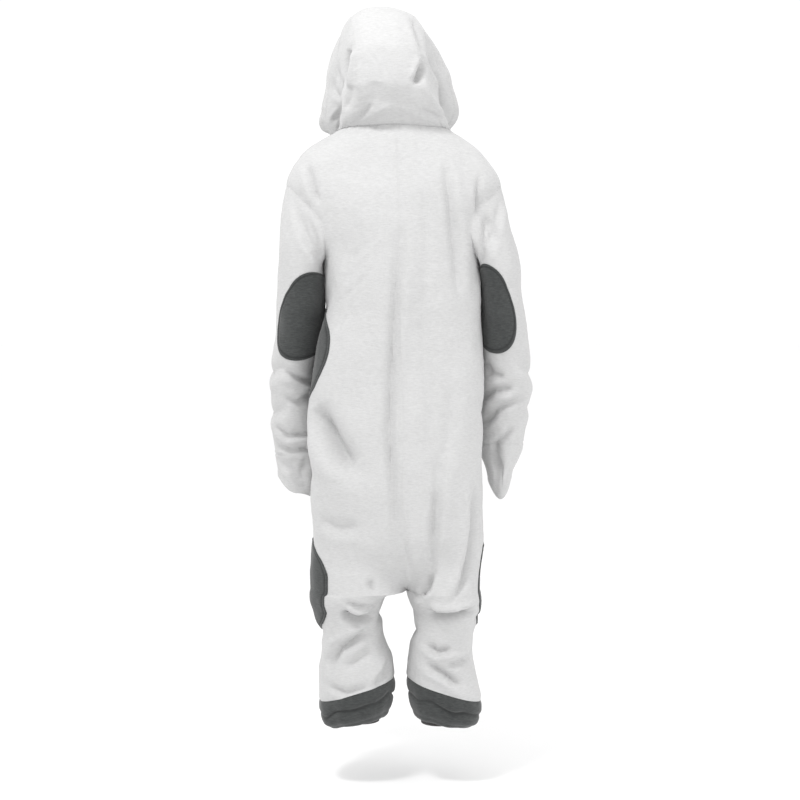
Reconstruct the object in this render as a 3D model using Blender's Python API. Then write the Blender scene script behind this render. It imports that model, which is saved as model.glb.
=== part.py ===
"""A hooded fleece onesie in its worn, hollow form, one cloth wall for each cut piece.

Metres, +Z up. The garment faces -Y and its left is +X. The origin lies between the shoulders at the
base of the neck, where the garment is held.
"""

from collections import namedtuple

import bmesh
import bpy
import numpy as np
from mathutils import Matrix, Vector

FLEECE_WALL = 0.0024
SPOT_WALL = 0.0016
BAND_WALL = 0.0020
SEAM_GAP = 0.0003
LAID_GAP = 0.0003

QUARTER_STEPS = 8
ARMHOLE_STEPS = 8
LEFT, RIGHT = 1, -1
BACK, FRONT = 1, -1
SIDE_NAMES = {LEFT: "left", RIGHT: "right"}

# Trunk rings from the neck down. The height is the ring's at the side seam, the lifts are how much
# higher it is at the centre back and the centre front.
TrunkRing = namedtuple(
    "TrunkRing", "height back_lift front_lift centre left_half right_half side_y back_y front_y square")
TRUNK = (
    TrunkRing(0.004, 0.011, -0.044, 0.017, 0.122, 0.119, -0.006, 0.066, -0.092, 2.3),
    TrunkRing(-0.010, -0.006, -0.066, 0.016, 0.152, 0.146, -0.006, 0.086, -0.104, 2.3),
    TrunkRing(-0.045, -0.034, -0.084, 0.014, 0.207, 0.186, -0.005, 0.106, -0.116, 2.3),
    TrunkRing(-0.112, -0.026, -0.060, 0.012, 0.238, 0.222, -0.004, 0.120, -0.127, 2.3),
    TrunkRing(-0.190, -0.010, -0.034, 0.010, 0.201, 0.187, -0.002, 0.127, -0.134, 2.4),
    TrunkRing(-0.270, 0.000, -0.010, 0.008, 0.163, 0.171, 0.002, 0.129, -0.137, 2.5),
    TrunkRing(-0.360, 0.000, 0.000, 0.006, 0.160, 0.174, 0.010, 0.127, -0.138, 2.5),
    TrunkRing(-0.445, 0.000, 0.000, 0.004, 0.177, 0.174, 0.022, 0.125, -0.139, 2.4),
    TrunkRing(-0.530, 0.000, 0.000, 0.002, 0.193, 0.174, 0.034, 0.126, -0.142, 2.4),
    TrunkRing(-0.610, 0.000, 0.000, 0.001, 0.203, 0.172, 0.038, 0.133, -0.146, 2.4),
    TrunkRing(-0.745, 0.000, 0.000, 0.000, 0.198, 0.171, 0.032, 0.141, -0.150, 2.4),
    TrunkRing(-0.860, 0.000, 0.000, -0.004, 0.198, 0.170, 0.018, 0.135, -0.150, 2.4),
    TrunkRing(-0.985, 0.000, 0.000, -0.008, 0.207, 0.158, 0.000, 0.116, -0.140, 2.3),
)

# Leg rings from the crotch down, with the wearer's left leg and right leg apart.
LegRing = namedtuple("LegRing", "height inner outer back_y front_y tilt square")
LEGS = {
    LEFT: (
        LegRing(-0.985, -0.008, 0.199, 0.116, -0.140, 0.000, 2.3),
        LegRing(-0.990, 0.020, 0.200, 0.115, -0.139, 0.000, 2.3),
        LegRing(-1.004, 0.038, 0.200, 0.111, -0.137, 0.000, 2.2),
        LegRing(-1.030, 0.045, 0.192, 0.099, -0.130, 0.000, 2.2),
        LegRing(-1.056, 0.045, 0.185, 0.090, -0.122, 0.000, 2.2),
        LegRing(-1.085, 0.043, 0.175, 0.087, -0.114, 0.004, 2.2),
        LegRing(-1.115, 0.037, 0.178, 0.086, -0.107, 0.010, 2.2),
        LegRing(-1.150, 0.027, 0.183, 0.086, -0.104, 0.018, 2.3),
        LegRing(-1.203, 0.020, 0.182, 0.084, -0.100, 0.025, 2.4),
    ),
    RIGHT: (
        LegRing(-0.985, -0.008, -0.166, 0.116, -0.140, 0.000, 2.3),
        LegRing(-0.990, -0.009, -0.167, 0.115, -0.139, 0.000, 2.3),
        LegRing(-1.004, -0.013, -0.169, 0.111, -0.137, 0.000, 2.2),
        LegRing(-1.030, -0.024, -0.170, 0.099, -0.130, 0.000, 2.2),
        LegRing(-1.056, -0.026, -0.161, 0.090, -0.122, 0.000, 2.2),
        LegRing(-1.085, -0.024, -0.153, 0.087, -0.114, 0.004, 2.2),
        LegRing(-1.115, -0.018, -0.152, 0.086, -0.107, 0.010, 2.2),
        LegRing(-1.150, -0.013, -0.157, 0.086, -0.104, 0.018, 2.3),
        LegRing(-1.198, -0.008, -0.168, 0.084, -0.100, 0.025, 2.4),
    ),
}

# Row spacing of the body panels.
NECK_STEPS = 6
TRUNK_STEP = 0.052
CROTCH_BLEND_TOP = -0.860
CROTCH_HEIGHT = TRUNK[-1].height
CROTCH_STEPS = 6
CROTCH_ARCH = (-0.990, -1.004)
LEG_STEP = 0.025

# Armhole: an oval opening in the trunk round the side seam.
ARMHOLE_TOP = -0.112
ARMHOLE_FOOT = -0.270
ARMHOLE_TURN = 38.0

# Sleeve rings from the end of the cap down.
SleeveRing = namedtuple("SleeveRing", "height inner outer back_y front_y")
SLEEVES = {
    LEFT: (
        SleeveRing(-0.330, 0.175, 0.273, 0.062, -0.086),
        SleeveRing(-0.420, 0.184, 0.279, 0.046, -0.098),
        SleeveRing(-0.500, 0.192, 0.289, 0.026, -0.116),
        SleeveRing(-0.575, 0.192, 0.291, 0.000, -0.140),
        SleeveRing(-0.640, 0.188, 0.290, -0.016, -0.156),
        SleeveRing(-0.698, 0.185, 0.284, -0.034, -0.158),
    ),
    RIGHT: (
        SleeveRing(-0.330, 0.184, 0.256, 0.062, -0.086),
        SleeveRing(-0.420, 0.182, 0.271, 0.048, -0.096),
        SleeveRing(-0.500, 0.180, 0.278, 0.028, -0.112),
        SleeveRing(-0.575, 0.176, 0.282, 0.004, -0.134),
        SleeveRing(-0.640, 0.174, 0.271, -0.012, -0.150),
        SleeveRing(-0.672, 0.174, 0.265, -0.022, -0.152),
    ),
}
CAP_LENGTH = 0.140
CAP_PLAIN = 0.040
CAP_STEPS = 5
SLEEVE_STEP = 0.037
CAP_SWING = (0.25, 0.60)
CAP_PULL = 0.16

# Hand covers: what the tube narrows to, and how low its slanting end hangs at the outer side, the
# back, the inner side and the front.
HandCover = namedtuple("HandCover", "inner outer back_y front_y outer_foot back_foot inner_foot front_foot")
HAND_COVERS = {
    LEFT: HandCover(0.190, 0.276, -0.048, -0.146, -0.750, -0.782, -0.800, -0.768),
    RIGHT: HandCover(0.190, 0.240, -0.046, -0.132, -0.752, -0.795, -0.754, -0.742),
}
HAND_COVER_STEPS = 5

# Hood sections, turning about the throat from the neck seam round the back and over to the face rim.
HoodRing = namedtuple(
    "HoodRing", "place top_y top_z throat_y throat_z lean left_half right_half top_share square "
    "left_flare right_flare")
HOOD = (
    HoodRing(0.00, 0.066, 0.015, -0.092, -0.040, 0.017, 0.122, 0.119, 1.00, 2.3, 0.000, 0.000),
    HoodRing(0.12, 0.104, 0.052, -0.098, -0.037, 0.022, 0.114, 0.112, 1.00, 2.4, 0.000, 0.000),
    HoodRing(0.26, 0.127, 0.105, -0.101, -0.034, 0.029, 0.106, 0.103, 1.00, 2.5, 0.000, 0.000),
    HoodRing(0.40, 0.123, 0.163, -0.104, -0.030, 0.035, 0.103, 0.099, 0.98, 2.6, 0.001, 0.001),
    HoodRing(0.54, 0.094, 0.217, -0.107, -0.026, 0.041, 0.106, 0.100, 0.94, 2.7, 0.004, 0.003),
    HoodRing(0.68, 0.044, 0.257, -0.110, -0.022, 0.045, 0.115, 0.110, 0.88, 2.8, 0.010, 0.006),
    HoodRing(0.84, -0.026, 0.274, -0.114, -0.017, 0.047, 0.131, 0.130, 0.80, 2.8, 0.024, 0.012),
    HoodRing(1.00, -0.110, 0.262, -0.120, -0.012, 0.046, 0.152, 0.150, 0.74, 2.8, 0.042, 0.018),
)
HOOD_FLARE_TURNS = (140.0, 100.0)
HOOD_FLARE_SPREAD = 34.0
HOOD_STEPS = 11
HOOD_STRIP_STEPS = 3
THROAT_TURN = 176.0

# Leg cuffs: how far each ring has moved from the leg's foot to the ankle band, hangs and stands out.
CuffRing = namedtuple("CuffRing", "inward hang bulge")
CUFF = (
    CuffRing(0.00, 0.000, 0.000),
    CuffRing(0.00, 0.012, 0.002),
    CuffRing(0.01, 0.026, 0.002),
    CuffRing(0.05, 0.039, 0.000),
    CuffRing(0.16, 0.049, 0.000),
    CuffRing(0.40, 0.051, 0.000),
    CuffRing(0.72, 0.040, 0.000),
    CuffRing(1.00, 0.000, 0.000),
)
AnkleBand = namedtuple("AnkleBand", "centre_x centre_y half_x half_y top foot")
ANKLE_BANDS = {
    LEFT: AnkleBand(0.092, -0.004, 0.041, 0.047, -1.246, -1.277),
    RIGHT: AnkleBand(-0.079, -0.004, 0.040, 0.047, -1.248, -1.281),
}

# Folds as soft troughs (a negative depth) or ridges, each along a straight line on one face of the
# garment. The line's ends are given across the face and in height.
Fold = namedtuple("Fold", "face across top_z across_end foot_z half_width depth")
TRUNK_FOLDS = (
    Fold("back", 0.008, -0.010, 0.006, -0.200, 0.007, 0.0022),
    Fold("back", 0.024, -0.230, 0.018, -0.520, 0.020, -0.0050),
    Fold("back", 0.018, -0.520, 0.010, -0.920, 0.019, -0.0065),
    Fold("back", -0.054, -0.150, -0.052, -0.340, 0.020, -0.0035),
    Fold("back", -0.092, -0.070, -0.122, -0.340, 0.018, -0.0060),
    Fold("back", -0.112, -0.574, -0.105, -0.790, 0.018, -0.0080),
    Fold("back", -0.105, -0.790, -0.080, -0.918, 0.018, -0.0120),
    Fold("back", -0.080, -0.918, -0.040, -0.990, 0.015, -0.0110),
    Fold("back", -0.161, -0.800, -0.144, -0.918, 0.016, -0.0080),
    Fold("back", -0.144, -0.918, -0.105, -1.004, 0.016, -0.0090),
    Fold("back", 0.189, -0.613, 0.114, -0.716, 0.020, -0.0090),
    Fold("back", 0.168, -0.832, 0.092, -0.853, 0.024, -0.0050),
    Fold("back", 0.067, -0.970, 0.060, -0.982, 0.014, -0.0060),
    Fold("back", 0.158, -1.024, 0.125, -1.050, 0.013, -0.0120),
    Fold("back", 0.125, -1.050, 0.080, -1.045, 0.013, -0.0140),
    Fold("back", 0.080, -1.045, 0.048, -1.016, 0.012, -0.0100),
    Fold("back", 0.049, -1.050, 0.114, -1.111, 0.013, -0.0055),
    Fold("back", 0.168, -1.090, 0.153, -1.160, 0.012, -0.0080),
    Fold("back", -0.026, -1.032, -0.165, -1.042, 0.013, -0.0130),
    Fold("back", -0.043, -1.140, -0.080, -1.195, 0.013, -0.0080),
    Fold("back", -0.161, -1.115, -0.144, -1.190, 0.013, -0.0080),
    Fold("front", 0.085, -0.120, 0.120, -0.330, 0.020, -0.0060),
    Fold("front", -0.090, -0.140, -0.110, -0.360, 0.020, -0.0055),
    Fold("front", 0.120, -0.560, 0.090, -0.860, 0.020, -0.0080),
    Fold("front", -0.115, -0.600, -0.070, -0.930, 0.019, -0.0095),
    Fold("front", 0.150, -0.900, 0.070, -0.975, 0.018, -0.0080),
    Fold("front", -0.140, -0.880, -0.050, -0.985, 0.017, -0.0085),
    Fold("front", 0.060, -1.075, 0.150, -1.100, 0.014, -0.0090),
    Fold("front", -0.040, -1.090, -0.140, -1.070, 0.014, -0.0090),
    Fold("front", 0.050, -1.130, 0.110, -1.170, 0.014, -0.0070),
    Fold("front", -0.130, -1.140, -0.070, -1.180, 0.014, -0.0070),
)
SLEEVE_FOLDS = {
    LEFT: (
        Fold("back", 0.222, -0.105, 0.190, -0.150, 0.014, -0.0060),
        Fold("back", 0.222, -0.150, 0.215, -0.230, 0.016, -0.0060),
        Fold("back", 0.270, -0.505, 0.200, -0.560, 0.013, -0.0090),
        Fold("back", 0.250, -0.590, 0.200, -0.560, 0.012, -0.0060),
        Fold("front", 0.275, -0.400, 0.205, -0.440, 0.015, -0.0080),
        Fold("front", 0.215, -0.520, 0.270, -0.560, 0.014, -0.0070),
        Fold("outer", 0.000, -0.520, -0.120, -0.480, 0.015, -0.0050),
    ),
    RIGHT: (
        Fold("back", -0.200, -0.150, -0.190, -0.240, 0.016, -0.0055),
        Fold("back", -0.172, -0.600, -0.210, -0.550, 0.014, -0.0080),
        Fold("back", -0.210, -0.550, -0.268, -0.514, 0.013, -0.0080),
        Fold("back", -0.215, -0.620, -0.262, -0.588, 0.012, -0.0060),
        Fold("front", -0.262, -0.410, -0.200, -0.445, 0.015, -0.0080),
        Fold("front", -0.205, -0.530, -0.260, -0.565, 0.014, -0.0070),
        Fold("outer", 0.000, -0.500, -0.110, -0.540, 0.015, -0.0050),
    ),
}
HOOD_FOLDS = (
    Fold("back", 0.146, 0.160, 0.128, 0.112, 0.011, -0.0080),
    Fold("back", 0.150, 0.145, 0.136, 0.070, 0.012, -0.0060),
    Fold("back", 0.150, 0.055, 0.112, 0.060, 0.012, -0.0070),
    Fold("back", -0.042, 0.150, -0.048, 0.105, 0.010, -0.0070),
    Fold("back", -0.040, 0.125, -0.090, 0.040, 0.014, 0.0045),
    Fold("back", 0.060, 0.035, -0.040, 0.030, 0.014, -0.0040),
    Fold("left", 0.040, 0.110, -0.060, 0.060, 0.016, -0.0080),
    Fold("right", 0.030, 0.140, -0.070, 0.060, 0.018, -0.0090),
    Fold("left", -0.020, 0.200, -0.070, 0.120, 0.016, -0.0050),
    Fold("right", -0.010, 0.210, -0.080, 0.150, 0.016, -0.0050),
)
FACE_DIRECTIONS = {"back": (0, 1, 0), "front": (0, -1, 0), "left": (1, 0, 0), "right": (-1, 0, 0)}

# Spots: oval patches, each cut where a prism of this outline meets the cloth. Facing is the way the
# prism points, in degrees from +X, and slant turns the oval in its own plane.
Spot = namedtuple("Spot", "x y z facing half_width half_height slant reach")
SPOTS = {
    ("elbow", LEFT): Spot(0.202, -0.026, -0.387, 90.0, 0.060, 0.106, -19.0, 0.20),
    ("elbow", RIGHT): Spot(-0.189, -0.024, -0.380, 90.0, 0.060, 0.104, 12.0, 0.20),
    ("waist", LEFT): Spot(0.080, 0.006, -0.475, 0.0, 0.084, 0.100, 0.0, 0.20),
    ("knee", LEFT): Spot(0.090, 0.000, -0.972, 0.0, 0.088, 0.100, 4.0, 0.20),
    ("knee", RIGHT): Spot(-0.094, -0.030, -0.972, 208.0, 0.078, 0.100, -4.0, 0.20),
}
SPOT_SIDES = 24

# Placket and buttons down the centre front.
PLACKET_WIDTH = 0.036
PLACKET_TOP = -0.058
PLACKET_FOOT = -0.760
PLACKET_WALL = 0.0022
PLACKET_CUT_Y = (-0.050, -0.250)
BUTTON_RADIUS = 0.0095
BUTTON_THICKNESS = 0.0032
BUTTON_COUNT = 6
BUTTON_TOP = -0.085
BUTTON_FOOT = -0.725
BUTTON_SIDES = 16
BUTTON_LIFT = 0.0004

Finish = namedtuple("Finish", "name colour roughness")
WHITE_FLEECE = Finish("fleece_white", (0.80, 0.80, 0.80), 0.95)
CHARCOAL_FLEECE = Finish("fleece_charcoal", (0.065, 0.068, 0.068), 0.95)
DARK_ELASTIC = Finish("elastic_dark", (0.030, 0.028, 0.028), 0.85)
BUTTON_PLASTIC = Finish("button_plastic", (0.78, 0.78, 0.76), 0.35)


def clear_scene():
    """Remove what the scene held before."""
    for old in list(bpy.data.objects):
        bpy.data.objects.remove(old, do_unlink=True)


def finish_material(finish):
    """The Principled material of one finish, made once."""
    material = bpy.data.materials.get(finish.name)
    if material is None:
        material = bpy.data.materials.new(finish.name)
        material.use_nodes = True
        shader = material.node_tree.nodes["Principled BSDF"]
        shader.inputs["Base Color"].default_value = (*finish.colour, 1.0)
        shader.inputs["Roughness"].default_value = finish.roughness
        shader.inputs["Metallic"].default_value = 0.0
    return material


def column(table, key, name, at):
    """One column of a table at any place along its key, on a smooth curve with no overshoot."""
    keys = np.array([getattr(row, key) for row in table])
    values = np.array([getattr(row, name) for row in table])
    order = np.argsort(keys)
    keys, values = keys[order], values[order]
    steps = np.diff(keys)
    slopes = np.diff(values) / steps
    product = slopes[:-1] * slopes[1:]
    total = slopes[:-1] + slopes[1:]
    inner = np.where(product > 0, 2 * product / np.where(total == 0, 1, total), 0.0)
    tangents = np.concatenate([slopes[:1], inner, slopes[-1:]])
    at = np.clip(at, keys[0], keys[-1])
    i = np.clip(np.searchsorted(keys, at) - 1, 0, len(keys) - 2)
    t = (at - keys[i]) / steps[i]
    return (values[i] * (1 + 2 * t) * (1 - t) ** 2 + values[i + 1] * t * t * (3 - 2 * t)
            + steps[i] * (tangents[i] * t * (1 - t) ** 2 - tangents[i + 1] * t * t * (1 - t)))


def rounded(value, square):
    """A sine or cosine bent towards a squarer curve, its sign kept."""
    return np.sign(value) * np.abs(value) ** (2.0 / square)


def stack(x, y, z):
    """Three coordinates as rows of points."""
    return np.stack(np.broadcast_arrays(x, y, z), axis=-1)


def unit(vectors):
    """The same directions at length 1."""
    return vectors / np.maximum(np.linalg.norm(vectors, axis=-1, keepdims=True), 1e-12)


def surface_normals(surface, across, along, low, high, outward):
    """Normals of a surface function, by the change round each point.

    low and high bound the second parameter. outward is 1 or -1, for a surface whose parameters run
    the other way round.
    """
    step = 0.02
    low_side = np.maximum(along - step, low)
    high_side = np.minimum(along + step, high)
    over = surface(across + step, along) - surface(across - step, along)
    down = surface(across, high_side) - surface(across, low_side)
    return unit(np.cross(over, down)) * outward


def fold_depth(points, normals, folds, faces):
    """How far the folds push each point along its normal."""
    push = np.zeros(points.shape[:-1])
    for fold in folds:
        direction = np.array(faces[fold.face], dtype=float)
        facing = np.clip(normals @ direction * 1.6 - 0.2, 0.0, 1.0)
        plane = points[..., [1 if abs(direction[0]) > 0.5 else 0, 2]]
        start = np.array([fold.across, fold.top_z])
        line = np.array([fold.across_end, fold.foot_z]) - start
        share = np.clip((plane - start) @ line / (line @ line), 0.0, 1.0)
        distance = np.linalg.norm(plane - start - share[..., None] * line, axis=-1)
        push += fold.depth * facing * np.exp(-(distance / fold.half_width) ** 2)
    return push


def body_row_heights():
    """The heights of the body's rows, and how far down the closing to the crotch each lies."""
    neck = np.linspace(0.0, 1.0, NECK_STEPS, endpoint=False) ** 1.6
    heights = list(TRUNK[0].height + (ARMHOLE_TOP - TRUNK[0].height) * neck)
    middle = (ARMHOLE_TOP + ARMHOLE_FOOT) / 2
    reach = (ARMHOLE_TOP - ARMHOLE_FOOT) / 2
    heights += list(middle + reach * np.cos(np.linspace(0.0, np.pi, ARMHOLE_STEPS + 1)))
    trunk_steps = round((ARMHOLE_FOOT - CROTCH_BLEND_TOP) / TRUNK_STEP)
    heights += list(np.linspace(ARMHOLE_FOOT, CROTCH_BLEND_TOP, trunk_steps + 1)[1:])
    closed = [0.0] * len(heights)
    for angle in np.linspace(0.0, np.pi / 2, CROTCH_STEPS + 1)[1:]:
        heights.append(CROTCH_BLEND_TOP + (CROTCH_HEIGHT - CROTCH_BLEND_TOP) * np.sin(angle))
        closed.append(np.sin(angle))
    heights += CROTCH_ARCH
    leg_foot = LEGS[LEFT][-1].height
    leg_steps = round((CROTCH_ARCH[-1] - leg_foot) / LEG_STEP)
    heights += list(np.linspace(CROTCH_ARCH[-1], leg_foot, leg_steps + 1)[1:])
    closed += [1.0] * (len(heights) - len(closed))
    return np.array(heights), np.array(closed)


ROW_HEIGHTS, ROW_CLOSED = body_row_heights()
LAST_ROW = len(ROW_HEIGHTS) - 1
CROTCH_ROW = int(np.argmin(np.abs(ROW_HEIGHTS - CROTCH_HEIGHT)))


def row_at_height(height):
    """The body row, with its fraction, at a height of the side seam."""
    return np.interp(-height, -ROW_HEIGHTS, np.arange(LAST_ROW + 1))


def armhole_edge(height):
    """How far round from the centre, in degrees, the trunk reaches before the armhole."""
    middle = (ARMHOLE_TOP + ARMHOLE_FOOT) / 2
    reach = (ARMHOLE_TOP - ARMHOLE_FOOT) / 2
    share = np.clip(1.0 - ((height - middle) / reach) ** 2, 0.0, 1.0)
    return 90.0 - ARMHOLE_TURN * np.sqrt(share)


def trunk_points(side, facing, angle, height):
    """Points of a trunk ring, by the angle from the centre in radians."""
    half = column(TRUNK, "height", "left_half" if side == LEFT else "right_half", height)
    depth = column(TRUNK, "height", "back_y" if facing == BACK else "front_y", height)
    lift = column(TRUNK, "height", "back_lift" if facing == BACK else "front_lift", height)
    side_y = column(TRUNK, "height", "side_y", height)
    square = column(TRUNK, "height", "square", height)
    sine, cosine = rounded(np.sin(angle), square), rounded(np.cos(angle), square)
    x = column(TRUNK, "height", "centre", height) + side * half * sine
    return stack(x, side_y + (depth - side_y) * cosine, height + lift * cosine * np.abs(cosine))


def leg_points(side, facing, angle, height):
    """Points of a leg ring, by the angle from the leg's own back or front in radians."""
    legs = LEGS[side]
    inner = column(legs, "height", "inner", height)
    outer = column(legs, "height", "outer", height)
    depth = column(legs, "height", "back_y" if facing == BACK else "front_y", height)
    square = column(legs, "height", "square", height)
    sine, cosine = rounded(np.sin(angle), square), rounded(np.cos(angle), square)
    x = (inner + outer) / 2 + (outer - inner) / 2 * sine
    return stack(x, depth * cosine, height - column(legs, "height", "tilt", height) * sine)


def plain_body(side, facing, across, row):
    """The body's outer surface without folds: across is 0 at the centre or inseam, 1 at the side."""
    height = np.interp(row, np.arange(LAST_ROW + 1), ROW_HEIGHTS)
    reached = np.interp(row, np.arange(LAST_ROW + 1), ROW_CLOSED)
    rounding = 1.0 - np.sqrt(1.0 - reached ** 2)
    near_seam = (1.0 - np.clip(across, 0.0, 1.0)) ** 4
    closed = (reached ** 2 * (3 - 2 * reached) * (1 - near_seam) + rounding * near_seam)[..., None]
    turn = across * 90.0 - (90.0 - armhole_edge(height)) * np.clip(across, 0.0, 1.0) ** 2
    trunk = trunk_points(side, facing, np.radians(turn), np.maximum(height, CROTCH_HEIGHT))
    leg = leg_points(side, facing, np.radians(180.0 * across - 90.0), np.minimum(height, CROTCH_HEIGHT))
    leg[..., 2] += np.maximum(height - CROTCH_HEIGHT, 0.0)
    return trunk * (1.0 - closed) + leg * closed


def panel_normals(side, facing, across, row):
    """Outward normals of one panel without folds."""
    def surface(u, v):
        return plain_body(side, facing, u, v)
    return surface_normals(surface, across, row, 0.0, LAST_ROW, side * facing)


def body_normals(side, facing, across, row):
    """Outward normals of the body without folds, shared by the panels that meet at a seam."""
    own = panel_normals(side, facing, across, row)
    turned = panel_normals(side, -facing, across, row)
    beyond = panel_normals(-side, facing, across, row)
    height = np.interp(row, np.arange(LAST_ROW + 1), ROW_HEIGHTS)
    side_seam = (across > 0.999) & (armhole_edge(height) > 89.9)
    inseam = (across < 0.001) & (row >= CROTCH_ROW)
    centre_seam = (across < 0.001) & (row < CROTCH_ROW)
    shared = np.where((side_seam | inseam)[..., None], own + turned, own * 2.0)
    return unit(np.where(centre_seam[..., None], own + beyond, shared))


def body_surface(side, facing, across, row):
    """The body's outer surface with its folds."""
    points = plain_body(side, facing, across, row)
    normals = body_normals(side, facing, across, row)
    return points + normals * fold_depth(points, normals, TRUNK_FOLDS, FACE_DIRECTIONS)[..., None]


def armhole_ring(side, angle, values):
    """The armhole's edge, points or normals: angle 0 at its top, 90 degrees at its back."""
    middle = (ARMHOLE_TOP + ARMHOLE_FOOT) / 2
    reach = (ARMHOLE_TOP - ARMHOLE_FOOT) / 2
    row = row_at_height(middle + reach * np.cos(angle))
    return np.where((np.sin(angle) >= -1e-9)[..., None], values(side, BACK, np.ones_like(row), row),
                    values(side, FRONT, np.ones_like(row), row))


def sleeve_section(side, angle, height):
    """A sleeve's ring below the cap, in its own plane: angle 0 outer, 90 degrees back."""
    rings = SLEEVES[side]
    inner = column(rings, "height", "inner", height)
    outer = column(rings, "height", "outer", height)
    back = column(rings, "height", "back_y", height)
    front = column(rings, "height", "front_y", height)
    x = (inner + outer) / 2 + (outer - inner) / 2 * np.cos(angle)
    return stack(side * x, (back + front) / 2 + (back - front) / 2 * np.sin(angle), height)


def plain_sleeve(side, degrees, drop):
    """A sleeve's outer surface without folds: drop is below 0 on the cap and the length below it."""
    angle = np.radians(degrees)
    cap_foot = SLEEVES[side][0].height
    below = sleeve_section(side, angle, cap_foot - np.maximum(drop, 0.0))
    share = np.clip(1.0 + drop / CAP_LENGTH, 0.0, 1.0)[..., None]
    start = armhole_ring(side, angle, body_surface)
    end = sleeve_section(side, angle, np.full_like(angle, cap_foot))
    swing = CAP_SWING[0] + CAP_SWING[1] * np.sin(angle) ** 2
    leave = unit(stack(side * swing, 0.0 * swing, -1.0 + 0.0 * swing)) * CAP_PULL
    arrive = unit(stack(0.0 * swing, -0.25 + 0.0 * swing, -1.0 + 0.0 * swing)) * CAP_PULL
    span = np.linalg.norm(end - start, axis=-1, keepdims=True) / CAP_PULL
    cap = (start * (1 + 2 * share) * (1 - share) ** 2 + end * share ** 2 * (3 - 2 * share)
           + leave * span * share * (1 - share) ** 2 - arrive * span * share ** 2 * (1 - share))
    return np.where((drop < 0.0)[..., None], cap, below)


def sleeve_length(side):
    """A sleeve's length below its cap."""
    return SLEEVES[side][0].height - SLEEVES[side][-1].height


def sleeve_surface(side, degrees, drop):
    """A sleeve's outer surface with its folds, and its normals."""
    def surface(u, v):
        return plain_sleeve(side, u * 100.0, v)
    points = plain_sleeve(side, degrees, drop)
    normals = surface_normals(surface, degrees / 100.0, drop, -CAP_LENGTH, sleeve_length(side), -side)
    faces = {**FACE_DIRECTIONS, "outer": (side, 0, 0)}
    push = fold_depth(points, normals, SLEEVE_FOLDS[side], faces)
    push *= np.clip((drop + CAP_LENGTH) / CAP_PLAIN, 0.0, 1.0)
    return points + normals * push[..., None], normals


def hand_cover_surface(side, degrees, share):
    """A hand cover's outer surface, share 0 at the wrist seam and 1 at its slanting end."""
    cover = HAND_COVERS[side]
    angle = np.radians(degrees)
    sine, cosine = np.sin(angle), np.cos(angle)
    level = (np.where(cosine > 0, cover.outer_foot, cover.inner_foot) * cosine ** 2
             + np.where(sine > 0, cover.back_foot, cover.front_foot) * sine ** 2)
    end = stack(side * ((cover.inner + cover.outer) / 2 + (cover.outer - cover.inner) / 2 * cosine),
                (cover.back_y + cover.front_y) / 2 + (cover.back_y - cover.front_y) / 2 * sine, level)
    wrist = sleeve_surface(side, degrees, np.full_like(degrees, sleeve_length(side)))[0]
    across = (share * share * (3 - 2 * share))[..., None]
    points = wrist + (end - wrist) * share[..., None]
    points[..., :1] = wrist[..., :1] + (end - wrist)[..., :1] * across
    return points


def plain_hood(degrees, place):
    """The hood's outer surface without folds: degrees 0 at the centre back, plus to the left."""
    angle = np.radians(degrees)
    square = column(HOOD, "place", "square", place)
    sine, cosine = rounded(np.sin(angle), square), rounded(np.cos(angle), square)
    values = {name: column(HOOD, "place", name, place) for name in HoodRing._fields[1:]}
    low = (1.0 - np.cos(angle)) / 2
    share = values["top_share"] + (1.0 - values["top_share"]) * low * low * (3 - 2 * low)
    half = np.where(angle > 0, values["left_half"], values["right_half"])
    lean = HOOD[0].lean + (values["lean"] - HOOD[0].lean) * (1.0 + np.cos(angle)) / 2
    y = (values["top_y"] + values["throat_y"]) / 2 + (values["top_y"] - values["throat_y"]) / 2 * cosine
    z = (values["top_z"] + values["throat_z"]) / 2 + (values["top_z"] - values["throat_z"]) / 2 * cosine
    seam = HOOD[0]
    seam_y = (seam.top_y + seam.throat_y) / 2 + (seam.top_y - seam.throat_y) / 2 * rounded(
        np.cos(angle), seam.square)
    seam_z = (seam.top_z + seam.throat_z) / 2 + (seam.top_z - seam.throat_z) / 2 * rounded(
        np.cos(angle), seam.square)
    level = np.full_like(angle, TRUNK[0].height)
    back = trunk_points(LEFT, BACK, np.abs(angle), level)
    front = trunk_points(LEFT, FRONT, np.pi - np.abs(angle), level)
    neck = np.where((np.abs(angle) <= np.pi / 2 + 1e-9)[..., None], back, front)
    y = y + (neck[..., 1] - seam_y) * (1.0 - place)
    z = z + (neck[..., 2] - seam_z) * (1.0 - place)
    flare = (values["left_flare"] * np.exp(-((degrees - HOOD_FLARE_TURNS[0]) / HOOD_FLARE_SPREAD) ** 2)
             - values["right_flare"] * np.exp(-((degrees + HOOD_FLARE_TURNS[1]) / HOOD_FLARE_SPREAD) ** 2))
    return stack(lean + half * share * sine + flare, y, z)


def hood_surface(degrees, place):
    """The hood's outer surface with its folds, and its normals."""
    def surface(u, v):
        return plain_hood(u * 100.0, v)
    points = plain_hood(degrees, place)
    normals = surface_normals(surface, degrees / 100.0, place, 0.0, 1.0, -1)
    push = fold_depth(points, normals, HOOD_FOLDS, FACE_DIRECTIONS)
    return points + normals * (push * np.minimum(place * 8.0, 1.0))[..., None], normals


def leg_foot(side, turn, values):
    """The leg's lowest ring, points or normals, turn 0 to 4 quarters from the inseam round the back."""
    across = np.where(turn <= 2.0, turn / 2.0, 2.0 - turn / 2.0)
    last = np.full_like(turn, LAST_ROW)
    return np.where((turn <= 2.0)[..., None], values(side, BACK, across, last),
                    values(side, FRONT, across, last))


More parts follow.
